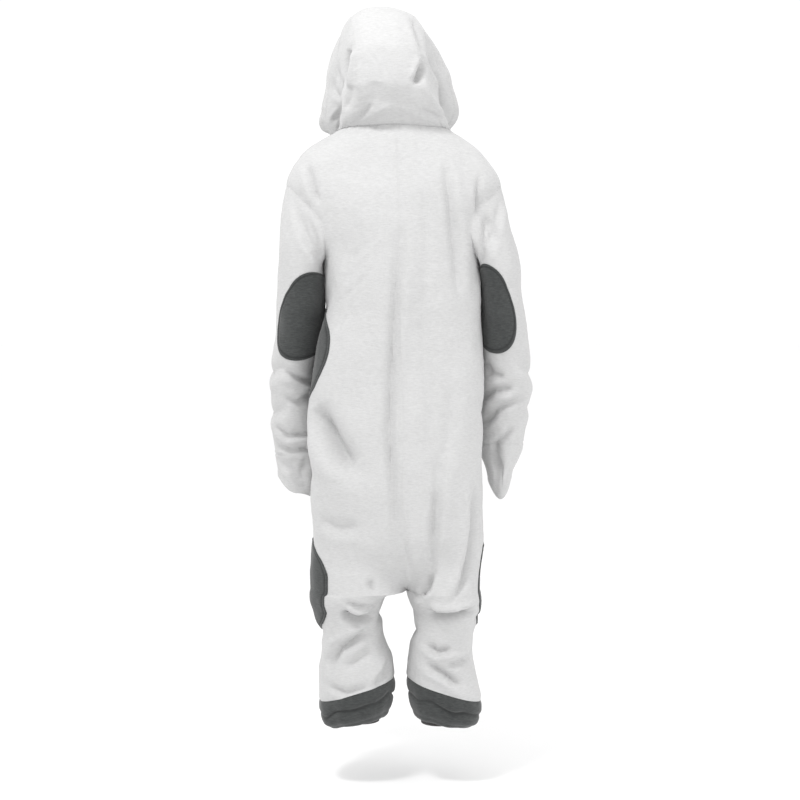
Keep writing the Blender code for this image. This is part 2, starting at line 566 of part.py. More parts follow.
def cuff_surface(side, turn, place):
    """A leg cuff's outer surface, the turn as on the leg's foot."""
    leg = leg_foot(side, turn, body_surface)
    band = ANKLE_BANDS[side]
    angle = np.radians(90.0 * turn)
    ankle = stack(band.centre_x - side * band.half_x * np.cos(angle),
                  band.centre_y + band.half_y * np.sin(angle), band.top + 0.0 * angle)
    rings = np.arange(len(CUFF))
    inward = np.interp(place, rings, [ring.inward for ring in CUFF])[..., None]
    hang = np.interp(place, rings, [ring.hang for ring in CUFF])
    bulge = np.interp(place, rings, [ring.bulge for ring in CUFF])[..., None]
    outward = leg - leg.mean(axis=(0, 1), keepdims=True)
    outward[..., 2] = 0.0
    points = leg * (1.0 - inward) + ankle * inward + unit(outward) * bulge
    points[..., 2] -= hang
    return points


def trim_edges(grid, sides, amount):
    """Draw the named edges of a grid of points in, so that pieces keep apart at a seam."""
    trimmed = grid.copy()
    for side in sides:
        edge, inside = {"top": (np.s_[0, :], np.s_[1, :]), "foot": (np.s_[-1, :], np.s_[-2, :]),
                        "start": (np.s_[:, 0], np.s_[:, 1]), "end": (np.s_[:, -1], np.s_[:, -2])}[side]
        along = unit(np.gradient(grid[edge], axis=0))
        inward = grid[inside] - grid[edge]
        inward -= (inward * along).sum(axis=-1, keepdims=True) * along
        trimmed[edge] += unit(inward) * amount
    return trimmed


def grid_normals(grid, wrapped):
    """Normals of a grid of points, from its own rows and columns."""
    if wrapped:
        over = np.roll(grid, -1, axis=1) - np.roll(grid, 1, axis=1)
    else:
        over = np.gradient(grid, axis=1)
    return unit(np.cross(over, np.gradient(grid, axis=0)))


def wall_object(name, outer, normals, wall, finish, wrapped=False, mirrored=()):
    """A closed cloth wall from a grid of outer points, thickened inwards.

    A wrapped grid is a tube, whose last column joins its first. The mirrored spans between columns
    have their triangles the other way round.
    """
    rows, columns = outer.shape[:2]
    inner = outer - normals * wall
    mesh = bmesh.new()
    layers = [[[mesh.verts.new(point) for point in row] for row in layer] for layer in (outer, inner)]
    spans = columns if wrapped else columns - 1
    for layer, points in enumerate(layers):
        for r in range(rows - 1):
            for c in range(spans):
                d = (c + 1) % columns
                a, b, e, f = points[r][c], points[r][d], points[r + 1][d], points[r + 1][c]
                for face in ((a, b, f), (b, e, f)) if c in mirrored else ((a, b, e), (a, e, f)):
                    mesh.faces.new(face if layer == 0 else face[::-1])
    border = [[(0, c), (0, (c + 1) % columns)] for c in range(spans)]
    border += [[(rows - 1, (c + 1) % columns), (rows - 1, c)] for c in range(spans)]
    if not wrapped:
        border += [[(r + 1, 0), (r, 0)] for r in range(rows - 1)]
        border += [[(r, columns - 1), (r + 1, columns - 1)] for r in range(rows - 1)]
    for (r0, c0), (r1, c1) in border:
        mesh.faces.new((layers[0][r1][c1], layers[0][r0][c0], layers[1][r0][c0], layers[1][r1][c1]))
    return finish_object(name, mesh, finish)


def finish_object(name, mesh, finish):
    """Turn a bmesh into a smooth object with its material, its faces pointing out."""
    bmesh.ops.recalc_face_normals(mesh, faces=mesh.faces)
    data = bpy.data.meshes.new(name)
    mesh.to_mesh(data)
    mesh.free()
    data.materials.append(finish_material(finish))
    data.shade_smooth()
    made = bpy.data.objects.new(name, data)
    bpy.context.scene.collection.objects.link(made)
    return made


def body_panel(side, facing):
    """One front or back: trunk and leg in one, from the centre seam and inseam to the side."""
    across, row = np.meshgrid(np.linspace(0.0, 1.0, QUARTER_STEPS + 1), np.arange(LAST_ROW + 1.0))
    outer = body_surface(side, facing, across, row)
    normals = body_normals(side, facing, across, row)
    outer = trim_edges(outer, ("top", "foot", "start", "end"), SEAM_GAP / 2)
    name = ("back_" if facing == BACK else "front_") + SIDE_NAMES[side]
    wall_object(name, outer, normals, FLEECE_WALL, WHITE_FLEECE)


def sleeve_grid(side):
    """The turns and drops at which a sleeve's points lie."""
    columns = 2 * ARMHOLE_STEPS
    steps = round(sleeve_length(side) / SLEEVE_STEP)
    drops = np.concatenate([np.linspace(-CAP_LENGTH, 0.0, CAP_STEPS, endpoint=False),
                            np.linspace(0.0, sleeve_length(side), steps + 1)])
    return np.meshgrid(np.arange(columns) * 360.0 / columns, drops)


def sleeve(side):
    """One sleeve, from the armhole to the wrist seam."""
    degrees, drop = sleeve_grid(side)
    outer, normals = sleeve_surface(side, degrees, drop)
    armhole = armhole_ring(side, np.radians(degrees[0]), body_normals)
    alike = np.clip((armhole * normals[0]).sum(axis=-1, keepdims=True), 0.0, 1.0)
    normals[0] = unit(normals[0] * (1.0 - alike) + armhole * alike)
    outer = trim_edges(outer, ("top", "foot"), SEAM_GAP / 2)
    wall_object("sleeve_" + SIDE_NAMES[side], outer, normals, FLEECE_WALL, WHITE_FLEECE, wrapped=True)


def hand_cover(side):
    """One hand cover, open at its slanting end."""
    columns = 2 * ARMHOLE_STEPS
    degrees, share = np.meshgrid(np.arange(columns) * 360.0 / columns,
                                 np.linspace(0.0, 1.0, HAND_COVER_STEPS + 1))
    outer = trim_edges(hand_cover_surface(side, degrees, share), ("top",), SEAM_GAP / 2)
    normals = grid_normals(outer, True) * -side
    normals[0] = sleeve_surface(side, degrees[:1], np.full_like(degrees[:1], sleeve_length(side)))[1][0]
    name = "hand_cover_" + SIDE_NAMES[side]
    wall_object(name, outer, normals, FLEECE_WALL, WHITE_FLEECE, wrapped=True)


def hood_panel(name, first_step, last_step):
    """One hood panel between two lines of the hood, counted in steps from the centre back."""
    step = 90.0 / QUARTER_STEPS
    turns = np.clip(np.arange(first_step, last_step + 1) * step, -THROAT_TURN, THROAT_TURN)
    degrees, place = np.meshgrid(turns, np.linspace(0.0, 1.0, HOOD_STEPS + 1))
    outer, normals = hood_surface(degrees, place)
    sides = ["top"]
    if first_step > -2 * QUARTER_STEPS:
        sides.append("start")
    if last_step < 2 * QUARTER_STEPS:
        sides.append("end")
    outer = trim_edges(outer, sides, SEAM_GAP / 2)
    wall_object(name, outer, normals, FLEECE_WALL, WHITE_FLEECE)


def hood():
    """The hood's centre strip and its two sides."""
    reach = 2 * QUARTER_STEPS
    hood_panel("hood_right", -reach, -HOOD_STRIP_STEPS)
    hood_panel("hood_centre", -HOOD_STRIP_STEPS, HOOD_STRIP_STEPS)
    hood_panel("hood_left", HOOD_STRIP_STEPS, reach)


def leg_cuff(side):
    """One bloused leg cuff, turned in to the ankle band."""
    columns = 2 * QUARTER_STEPS
    turn, place = np.meshgrid(np.arange(columns) * 4.0 / columns, np.arange(float(len(CUFF))))
    outer = trim_edges(cuff_surface(side, turn, place), ("top", "foot"), SEAM_GAP / 2)
    normals = grid_normals(outer, True) * side
    normals[0] = leg_foot(side, turn[0], body_normals)
    name = "leg_cuff_" + SIDE_NAMES[side]
    wall_object(name, outer, normals, FLEECE_WALL, CHARCOAL_FLEECE, wrapped=True)


def ankle_band(side):
    """One elastic band round the ankle."""
    band = ANKLE_BANDS[side]
    columns = 2 * QUARTER_STEPS
    angle, z = np.meshgrid(np.arange(columns) * 2 * np.pi / columns,
                           np.array([band.top - SEAM_GAP / 2, (band.top + band.foot) / 2, band.foot]))
    outer = stack(band.centre_x - side * band.half_x * np.cos(angle),
                  band.centre_y + band.half_y * np.sin(angle), z)
    normals = grid_normals(outer, True) * side
    name = "ankle_band_" + SIDE_NAMES[side]
    wall_object(name, outer, normals, BAND_WALL, DARK_ELASTIC, wrapped=True)


def laid_piece(name, outer, normals, wall, finish, cutter, wrapped=False, mirrored=()):
    """A piece laid on a panel: the panel's own points moved out, kept only inside a closed cutter."""
    skin = outer + normals * (LAID_GAP + wall)
    made = wall_object(name, skin, normals, wall, finish, wrapped, mirrored)
    cutter.name = name + "_outline"
    cutter.hide_render = True
    cutter.display_type = "WIRE"
    keep = made.modifiers.new("outline", "BOOLEAN")
    keep.operation = "INTERSECT"
    keep.solver = "EXACT"
    keep.object = cutter


def oval_cutter(spot):
    """A closed oval prism that points out of the garment at a spot's place."""
    mesh = bmesh.new()
    bmesh.ops.create_cone(mesh, cap_ends=True, segments=SPOT_SIDES, radius1=1.0, radius2=1.0, depth=1.0)
    size = Matrix.Diagonal((spot.half_width, spot.half_height, spot.reach, 1.0))
    facing = Vector((np.cos(np.radians(spot.facing)), np.sin(np.radians(spot.facing)), 0.0))
    up = Vector((0.0, 0.0, 1.0))
    across = up.cross(facing)
    frame = Matrix((across, up, facing)).transposed().to_4x4()
    lean = Matrix.Rotation(np.radians(spot.slant), 4, "Z")
    centre = Vector((spot.x, spot.y, spot.z)) + facing * spot.reach / 2
    bmesh.ops.transform(mesh, matrix=Matrix.Translation(centre) @ frame @ lean @ size, verts=mesh.verts)
    return finish_object("outline", mesh, CHARCOAL_FLEECE)


def body_skin(side, first_row, last_row):
    """Outer points and normals right round one side of the body, centre back to centre front."""
    panels = []
    for facing in (BACK, FRONT):
        across, row = np.meshgrid(np.linspace(0.0, 1.0, QUARTER_STEPS + 1),
                                  np.arange(first_row, last_row + 1.0))
        panels.append((body_surface(side, facing, across, row), body_normals(side, facing, across, row)))
    return [np.concatenate([panels[0][k], panels[1][k][:, -2::-1]], axis=1) for k in (0, 1)]


def spots():
    """The oval spots, laid on the sleeves and the body."""
    for (place, side), spot in SPOTS.items():
        name = f"{place}_spot_{SIDE_NAMES[side]}"
        if place == "elbow":
            degrees, drop = sleeve_grid(side)
            outer, normals = sleeve_surface(side, degrees, drop)
            laid_piece(name, outer, normals, SPOT_WALL, CHARCOAL_FLEECE, oval_cutter(spot), wrapped=True)
        else:
            rows = np.flatnonzero(np.abs(ROW_HEIGHTS - spot.z) < spot.half_height + 2 * TRUNK_STEP)
            outer, normals = body_skin(side, rows[0], rows[-1])
            laid_piece(name, outer, normals, SPOT_WALL, CHARCOAL_FLEECE, oval_cutter(spot),
                       mirrored=range(QUARTER_STEPS, 2 * QUARTER_STEPS))


def centre_front(height):
    """A point of the centre-front seam on the panels' flat faces, and the way it faces."""
    rows = np.arange(LAST_ROW + 1.0)
    seam = body_surface(LEFT, FRONT, np.zeros_like(rows), rows)
    normals = body_normals(LEFT, FRONT, np.zeros_like(rows), rows)
    down = np.argsort(seam[:CROTCH_ROW, 2])
    point = [np.interp(height, seam[down, 2], seam[down, axis]) for axis in range(3)]
    facing = [np.interp(height, seam[down, 2], normals[down, axis]) for axis in range(3)]
    return np.array(point), unit(np.array(facing))


def placket():
    """The button placket, laid on both fronts down the centre."""
    sides = [body_skin(side, 0, CROTCH_ROW - CROTCH_STEPS) for side in (LEFT, RIGHT)]
    (left, left_normals), (right, right_normals) = [(points[:, -3:], normals[:, -3:])
                                                    for points, normals in sides]
    outer = np.concatenate([left, right[:, -2::-1]], axis=1)
    normals = np.concatenate([left_normals, right_normals[:, -2::-1]], axis=1)
    corners = []
    for height in (PLACKET_TOP, PLACKET_FOOT):
        middle = centre_front(height)[0][0]
        corners += [(middle + offset * PLACKET_WIDTH / 2, y, height) for offset in (-1, 1)
                    for y in PLACKET_CUT_Y]
    mesh = bmesh.new()
    for corner in corners:
        mesh.verts.new(corner)
    bmesh.ops.convex_hull(mesh, input=mesh.verts)
    cutter = finish_object("outline", mesh, WHITE_FLEECE)
    laid_piece("placket", outer, normals, PLACKET_WALL, WHITE_FLEECE, cutter, mirrored=(0, 1))


def buttons():
    """Flat buttons down the placket, each square to the cloth under it."""
    for number, height in enumerate(np.linspace(BUTTON_TOP, BUTTON_FOOT, BUTTON_COUNT), start=1):
        seat, facing = centre_front(height)
        above, below = (centre_front(height + step)[0] for step in (BUTTON_RADIUS, -BUTTON_RADIUS))
        slope = unit(above - below)
        axis = Vector(unit(facing - slope * (facing @ slope)))
        mesh = bmesh.new()
        bmesh.ops.create_cone(mesh, cap_ends=True, segments=BUTTON_SIDES, radius1=BUTTON_RADIUS,
                              radius2=BUTTON_RADIUS, depth=BUTTON_THICKNESS)
        made = finish_object(f"button_{number}", mesh, BUTTON_PLASTIC)
        turn = Vector((0, 0, 1)).rotation_difference(axis).to_matrix().to_4x4()
        rise = LAID_GAP + PLACKET_WALL + BUTTON_LIFT + BUTTON_THICKNESS / 2
        made.matrix_world = Matrix.Translation(Vector(seat) + axis * rise) @ turn
        made.data.set_sharp_from_angle(angle=np.radians(40.0))


def main():
    """Build every piece."""
    clear_scene()
    for side in (LEFT, RIGHT):
        body_panel(side, BACK)
        body_panel(side, FRONT)
        sleeve(side)
        hand_cover(side)
        leg_cuff(side)
        ankle_band(side)
    hood()
    spots()
    placket()
    buttons()


main()
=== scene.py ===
"""A hooded fleece onesie in its worn form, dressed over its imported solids.

Metres, +Z up. The garment faces -Y and its left is +X. The origin lies between the shoulders at the
base of the neck. Each cut piece is one cloth shell on the same curves as its solid, with creases,
seams and stitches added.
"""

from __future__ import annotations

import logging
import math
from dataclasses import dataclass, field
from enum import Enum, IntEnum
from typing import Any, Callable, NamedTuple, Sequence

import bmesh
import bpy
import numpy as np
from mathutils import Matrix, Vector

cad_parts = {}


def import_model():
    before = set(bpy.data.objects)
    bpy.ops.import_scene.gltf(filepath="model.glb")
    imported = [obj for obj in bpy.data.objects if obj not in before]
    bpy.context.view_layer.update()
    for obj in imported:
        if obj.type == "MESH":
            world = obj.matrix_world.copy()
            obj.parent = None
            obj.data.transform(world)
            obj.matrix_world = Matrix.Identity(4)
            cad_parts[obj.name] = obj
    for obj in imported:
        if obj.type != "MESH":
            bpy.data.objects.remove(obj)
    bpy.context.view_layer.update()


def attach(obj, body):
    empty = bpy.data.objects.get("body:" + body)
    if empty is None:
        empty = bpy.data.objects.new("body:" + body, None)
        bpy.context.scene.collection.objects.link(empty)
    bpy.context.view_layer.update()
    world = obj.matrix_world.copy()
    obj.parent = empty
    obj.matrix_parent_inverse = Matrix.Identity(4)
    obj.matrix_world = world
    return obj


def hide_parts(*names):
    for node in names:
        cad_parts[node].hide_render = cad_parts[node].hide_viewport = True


log = logging.getLogger("onesie")

Array = np.ndarray

FLEECE_WALL = 0.0024
SPOT_WALL = 0.0016
LAID_GAP = 0.0003
STEP = 0.0045


class Side(IntEnum):
    """The wearer's left or right, as the sign of X."""

    LEFT = 1
    RIGHT = -1

    @property
    def label(self) -> str:
        """The side's name in a piece's name."""
        return self.name.lower()


class Facing(IntEnum):
    """The back or front of the body, as the sign of Y."""

    BACK = 1
    FRONT = -1


class Edge(Enum):
    """An edge of a grid of cloth points."""

    TOP = "top"
    FOOT = "foot"
    START = "start"
    END = "end"


class Face(Enum):
    """The face of the garment that a crease lies on, as the way it looks."""

    BACK = (0.0, 1.0, 0.0)
    FRONT = (0.0, -1.0, 0.0)
    LEFT = (1.0, 0.0, 0.0)
    RIGHT = (-1.0, 0.0, 0.0)


# Sizes


class TrunkRing(NamedTuple):
    """One ring of the trunk, at its height on the side seam."""

    height: float
    back_lift: float
    front_lift: float
    centre: float
    left_half: float
    right_half: float
    side_y: float
    back_y: float
    front_y: float
    square: float


TRUNK = (
    TrunkRing(0.004, 0.011, -0.044, 0.017, 0.122, 0.119, -0.006, 0.066, -0.092, 2.3),
    TrunkRing(-0.010, -0.006, -0.066, 0.016, 0.152, 0.146, -0.006, 0.086, -0.104, 2.3),
    TrunkRing(-0.045, -0.034, -0.084, 0.014, 0.207, 0.186, -0.005, 0.106, -0.116, 2.3),
    TrunkRing(-0.112, -0.026, -0.060, 0.012, 0.238, 0.222, -0.004, 0.120, -0.127, 2.3),
    TrunkRing(-0.190, -0.010, -0.034, 0.010, 0.201, 0.187, -0.002, 0.127, -0.134, 2.4),
    TrunkRing(-0.270, 0.000, -0.010, 0.008, 0.163, 0.171, 0.002, 0.129, -0.137, 2.5),
    TrunkRing(-0.360, 0.000, 0.000, 0.006, 0.160, 0.174, 0.010, 0.127, -0.138, 2.5),
    TrunkRing(-0.445, 0.000, 0.000, 0.004, 0.177, 0.174, 0.022, 0.125, -0.139, 2.4),
    TrunkRing(-0.530, 0.000, 0.000, 0.002, 0.193, 0.174, 0.034, 0.126, -0.142, 2.4),
    TrunkRing(-0.610, 0.000, 0.000, 0.001, 0.203, 0.172, 0.038, 0.133, -0.146, 2.4),
    TrunkRing(-0.745, 0.000, 0.000, 0.000, 0.198, 0.171, 0.032, 0.141, -0.150, 2.4),
    TrunkRing(-0.860, 0.000, 0.000, -0.004, 0.198, 0.170, 0.018, 0.135, -0.150, 2.4),
    TrunkRing(-0.985, 0.000, 0.000, -0.008, 0.207, 0.158, 0.000, 0.116, -0.140, 2.3),
)


class LegRing(NamedTuple):
    """One ring of a leg."""

    height: float
    inner: float
    outer: float
    back_y: float
    front_y: float
    tilt: float
    square: float


LEGS = {
    Side.LEFT: (
        LegRing(-0.985, -0.008, 0.199, 0.116, -0.140, 0.000, 2.3),
        LegRing(-0.990, 0.020, 0.200, 0.115, -0.139, 0.000, 2.3),
        LegRing(-1.004, 0.038, 0.200, 0.111, -0.137, 0.000, 2.2),
        LegRing(-1.030, 0.045, 0.192, 0.099, -0.130, 0.000, 2.2),
        LegRing(-1.056, 0.045, 0.185, 0.090, -0.122, 0.000, 2.2),
        LegRing(-1.085, 0.043, 0.175, 0.087, -0.114, 0.004, 2.2),
        LegRing(-1.115, 0.037, 0.178, 0.086, -0.107, 0.010, 2.2),
        LegRing(-1.150, 0.027, 0.183, 0.086, -0.104, 0.018, 2.3),
        LegRing(-1.203, 0.020, 0.182, 0.084, -0.100, 0.025, 2.4),
    ),
    Side.RIGHT: (
        LegRing(-0.985, -0.008, -0.166, 0.116, -0.140, 0.000, 2.3),
        LegRing(-0.990, -0.009, -0.167, 0.115, -0.139, 0.000, 2.3),
        LegRing(-1.004, -0.013, -0.169, 0.111, -0.137, 0.000, 2.2),
        LegRing(-1.030, -0.024, -0.170, 0.099, -0.130, 0.000, 2.2),
        LegRing(-1.056, -0.026, -0.161, 0.090, -0.122, 0.000, 2.2),
        LegRing(-1.085, -0.024, -0.153, 0.087, -0.114, 0.004, 2.2),
        LegRing(-1.115, -0.018, -0.152, 0.086, -0.107, 0.010, 2.2),
        LegRing(-1.150, -0.013, -0.157, 0.086, -0.104, 0.018, 2.3),
        LegRing(-1.198, -0.008, -0.168, 0.084, -0.100, 0.025, 2.4),
    ),
}


class SleeveRing(NamedTuple):
    """One ring of a sleeve below its cap."""

    height: float
    inner: float
    outer: float
    back_y: float
    front_y: float


SLEEVES = {
    Side.LEFT: (
        SleeveRing(-0.330, 0.1705, 0.273, 0.062, -0.086),
        SleeveRing(-0.420, 0.1765, 0.279, 0.046, -0.098),
        SleeveRing(-0.500, 0.189, 0.289, 0.026, -0.116),
        SleeveRing(-0.575, 0.192, 0.291, 0.000, -0.140),
        SleeveRing(-0.640, 0.188, 0.290, -0.016, -0.156),
        SleeveRing(-0.698, 0.185, 0.284, -0.034, -0.158),
    ),
    Side.RIGHT: (
        SleeveRing(-0.330, 0.168, 0.256, 0.062, -0.086),
        SleeveRing(-0.420, 0.1695, 0.271, 0.048, -0.096),
        SleeveRing(-0.500, 0.172, 0.278, 0.028, -0.112),
        SleeveRing(-0.575, 0.168, 0.282, 0.004, -0.134),
        SleeveRing(-0.640, 0.169, 0.271, -0.012, -0.150),
        SleeveRing(-0.672, 0.1705, 0.265, -0.022, -0.152),
    ),
}


class CoverEnd(NamedTuple):
    """A hand cover's open end, and how low it hangs at the outer side, back, inner side and front."""

    inner: float
    outer: float
    back_y: float
    front_y: float
    outer_foot: float
    back_foot: float
    inner_foot: float
    front_foot: float


COVER_ENDS = {
    Side.LEFT: CoverEnd(0.190, 0.276, -0.048, -0.146, -0.750, -0.782, -0.800, -0.768),
    Side.RIGHT: CoverEnd(0.190, 0.240, -0.046, -0.132, -0.752, -0.795, -0.754, -0.742),
}


class HoodRing(NamedTuple):
    """One section of the hood, turning about the throat from the neck seam to the face rim."""

    place: float
    top_y: float
    top_z: float
    throat_y: float
    throat_z: float
    lean: float
    left_half: float
    right_half: float
    top_share: float
    square: float
    left_flare: float
    right_flare: float


HOOD = (
    HoodRing(0.00, 0.066, 0.015, -0.092, -0.040, 0.017, 0.122, 0.119, 1.00, 2.3, 0.000, 0.000),
    HoodRing(0.12, 0.104, 0.052, -0.098, -0.037, 0.022, 0.114, 0.112, 1.00, 2.4, 0.000, 0.000),
    HoodRing(0.26, 0.127, 0.105, -0.101, -0.034, 0.029, 0.106, 0.103, 1.00, 2.5, 0.000, 0.000),
    HoodRing(0.40, 0.123, 0.163, -0.104, -0.030, 0.035, 0.103, 0.099, 0.98, 2.6, 0.001, 0.001),
    HoodRing(0.54, 0.094, 0.217, -0.107, -0.026, 0.041, 0.106, 0.100, 0.94, 2.7, 0.004, 0.003),
    HoodRing(0.68, 0.044, 0.257, -0.110, -0.022, 0.045, 0.115, 0.110, 0.88, 2.8, 0.010, 0.006),
    HoodRing(0.84, -0.026, 0.274, -0.114, -0.017, 0.047, 0.131, 0.130, 0.80, 2.8, 0.024, 0.012),
    HoodRing(1.00, -0.110, 0.262, -0.120, -0.012, 0.046, 0.152, 0.150, 0.74, 2.8, 0.042, 0.018),
)


class CuffRing(NamedTuple):
    """One ring of a leg cuff: how far it has moved in to the ankle band, hangs and stands out."""

    place: float
    inward: float
    hang: float
    bulge: float


CUFF = (
    CuffRing(0.0, 0.00, 0.000, 0.000),
    CuffRing(1.0, 0.00, 0.012, 0.002),
    CuffRing(2.0, 0.01, 0.026, 0.002),
    CuffRing(3.0, 0.05, 0.039, 0.000),
    CuffRing(4.0, 0.16, 0.049, 0.000),
    CuffRing(5.0, 0.40, 0.051, 0.000),
    CuffRing(6.0, 0.72, 0.040, 0.000),
    CuffRing(7.0, 1.00, 0.000, 0.000),
)


class BandSize(NamedTuple):
    """An ankle band's oval and its two edges."""

    centre_x: float
    centre_y: float
    half_x: float
    half_y: float
    top: float
    foot: float


BANDS = {
    Side.LEFT: BandSize(0.092, -0.004, 0.041, 0.047, -1.246, -1.277),
    Side.RIGHT: BandSize(-0.079, -0.004, 0.040, 0.047, -1.248, -1.281),
}


class SpotOval(NamedTuple):
    """A spot's oval, seen along its facing in degrees from +X, with its centre along that view."""

    centre: float
    height: float
    half_width: float
    half_height: float
    slant: float


BODY_SPOTS = {
    ("waist", Side.LEFT): SpotOval(0.006, -0.475, 0.084, 0.100, 0.0),
    ("knee", Side.LEFT): SpotOval(0.006, -0.972, 0.088, 0.100, 4.0),
    ("knee", Side.RIGHT): SpotOval(-0.030, -0.972, 0.078, 0.100, -4.0),
}


FOLD_SHARPNESS = 1.6
END_FADE = 0.8


class Crease(NamedTuple):
    """A soft fold line on one face of the garment.

    The path's points are given across the face and in height. A negative depth is a trough. The lip
    is a ridge beside the line, as a share of the depth, on the left of the path's direction, or on
    its right if it is negative.
    """

    face: Face
    path: tuple[tuple[float, float], ...]
    half_width: float
    depth: float
    lip: float = 0.0


BODY_GAIN = 1.7
SLEEVE_GAIN = 1.5
COVER_GAIN = 2.0
HOOD_GAIN = 1.3
LOW_ON_LEG = -0.99


def deepened(gain: float, creases: Sequence[Crease]) -> tuple[Crease, ...]:
    """Deepen the given creases, but not those that start low on a leg.

    Args:
        gain: How many times as deep they become.
        creases: The creases as given.

    Returns:
        The creases, their depths to a tenth of a millimetre.
    """
    return tuple(crease._replace(depth=round(crease.depth * (1.0 if crease.path[0][1] < LOW_ON_LEG
                                                              else gain), 4)) for crease in creases)


class PhotoView(NamedTuple):
    """The view that the photo was taken from, in metres, and the photo's width in pixels."""

    place: tuple[float, float, float] = (0.0065, 4.3, -0.35)
    aim: tuple[float, float, float] = (0.0065, 0.0, -0.574)
    lens: float = 89.2
    sensor: float = 36.0
    pixels: int = 800

    def at(self, pixel: tuple[int, int], plane: float) -> tuple[float, float]:
        """Find where the line of sight through a pixel meets an upright plane.

        Args:
            pixel: Its column and row.
            plane: The plane's Y.

        Returns:
            X and height there, to the millimetre.
        """
        eye, scale, middle = np.array(self.place), self.lens / self.sensor * self.pixels, self.pixels / 2
        ahead = np.array(self.aim) - eye
        ahead /= np.linalg.norm(ahead)
        right = np.cross(ahead, (0.0, 0.0, 1.0))
        right /= np.linalg.norm(right)
        sight = (ahead + right * ((pixel[0] - middle) / scale)
                 + np.cross(right, ahead) * ((middle - pixel[1]) / scale))
        found = eye + sight * ((plane - eye[1]) / sight[1])
        return round(float(found[0]), 3), round(float(found[2]), 3)


PHOTO = PhotoView()


class SeenFold(NamedTuple):
    """A fold that the photo shows, as pixels given along it, each a column and a row.

    The plane is the Y of the cloth there. The half width, depth and lip are those of the crease.
    """

    plane: float
    half_width: float
    depth: float
    lip: float
    pixels: tuple[tuple[int, int], ...]


def seen(folds: dict[str, SeenFold]) -> tuple[Crease, ...]:
    """Put folds that the photo shows on the garment's back, in their order."""
    return tuple(Crease(Face.BACK, tuple(PHOTO.at(pixel, fold.plane) for pixel in fold.pixels),
                        fold.half_width, fold.depth, fold.lip) for fold in folds.values())


BODY_FOLDS = {
    "centre_seam_neck": SeenFold(0.12, 0.0035, 0.0026, 0.0, ((394, 132), (397, 180), (401, 230))),
    "centre_trough": SeenFold(0.12, 0.011, -0.015, -0.3,
        ((400, 232), (396, 290), (392, 360), (389, 430), (393, 490), (397, 560))),
    "right_of_centre": SeenFold(0.12, 0.014, -0.0065, 0.0,
        ((428, 195), (426, 260), (424, 330), (428, 400), (430, 470))),
    "left_shoulder_drop": SeenFold(0.12, 0.018, -0.0035, 0.0, ((362, 200), (352, 260), (345, 330))),
    "right_shoulder_line": SeenFold(0.1, 0.011, -0.013, -0.3,
        ((446, 165), (450, 200), (456, 250), (460, 295))),
    "left_armhole": SeenFold(0.09, 0.008, -0.011, 0.3, ((307, 166), (312, 184), (318, 204))),
    "right_armhole": SeenFold(0.09, 0.006, -0.011, 0.0, ((479, 176), (479, 205), (478, 238))),
    "left_hip_hollow": SeenFold(0.11, 0.023, -0.044, 0.25, ((312, 408), (324, 430), (337, 450), (352, 468))),
    "left_seat_fold": SeenFold(0.11, 0.014, -0.01, 0.2, ((320, 521), (338, 529), (358, 526))),
    "right_waist_line": SeenFold(0.12, 0.014, -0.006, -0.3, ((452, 390), (448, 440), (438, 485))),
    "right_seat_line": SeenFold(0.12, 0.013, -0.0075, -0.3, ((437, 450), (437, 500), (433, 550))),
    "right_thigh_line": SeenFold(0.12, 0.01, -0.0095, -0.3, ((436, 490), (434, 530), (431, 572))),
    "hooked_fold": SeenFold(0.115, 0.0075, -0.015, -0.35, ((431, 574), (426, 588), (418, 597), (409, 596))),
    "centre_seam_low": SeenFold(0.12, 0.005, -0.006, -0.3, ((402, 500), (403, 535), (407, 556), (410, 570))),
    "right_side_line": SeenFold(0.115, 0.009, -0.019, 0.3,
        ((477, 490), (475, 530), (471, 560), (465, 582), (455, 600))),
    "right_knee_fold": SeenFold(0.1, 0.009, -0.032, -0.4, ((426, 613), (436, 617), (456, 617), (477, 612))),
    "left_knee_fold": SeenFold(0.1, 0.01, -0.03, -0.4,
        ((341, 612), (347, 617), (356, 621), (369, 619), (377, 617))),
    "left_knee_fold_upper": SeenFold(0.1, 0.007, -0.012, -0.3,
        ((345, 602), (358, 606), (370, 608), (379, 607))),
    "crotch_left": SeenFold(0.11, 0.008, -0.011, 0.0, ((369, 580), (373, 592))),
    "left_shin_long": SeenFold(0.09, 0.009, -0.019, 0.35,
        ((372, 630), (356, 639), (338, 650), (331, 664), (331, 672))),
    "left_shin_inner": SeenFold(0.09, 0.01, -0.011, 0.3, ((374, 648), (360, 658), (345, 668))),
    "right_shin_top": SeenFold(0.09, 0.008, -0.016, 0.35, ((427, 646), (436, 652), (450, 650))),
    "right_shin_long": SeenFold(0.09, 0.009, -0.019, 0.35, ((426, 665), (440, 672), (462, 687))),
    "right_shin_outer": SeenFold(0.09, 0.008, -0.012, 0.3, ((474, 659), (462, 664), (446, 666))),
    "left_cuff_fold": SeenFold(0.09, 0.008, -0.012, 0.3, ((328, 688), (345, 694), (366, 688))),
    "left_shin_low": SeenFold(0.09, 0.008, -0.01, 0.3, ((392, 664), (386, 676), (374, 688))),
    "waist_ray_low": SeenFold(0.12, 0.006, -0.0013, 0.4, ((335, 305), (350, 291), (367, 275))),
    "waist_ray_middle": SeenFold(0.12, 0.006, -0.0013, 0.4, ((342, 285), (356, 271), (372, 255))),
    "waist_ray_high": SeenFold(0.12, 0.006, -0.0011, 0.4, ((350, 260), (363, 248), (377, 235))),
    "waist_ray_outer": SeenFold(0.12, 0.006, -0.002, 0.4, ((336, 330), (345, 318), (352, 312))),
}

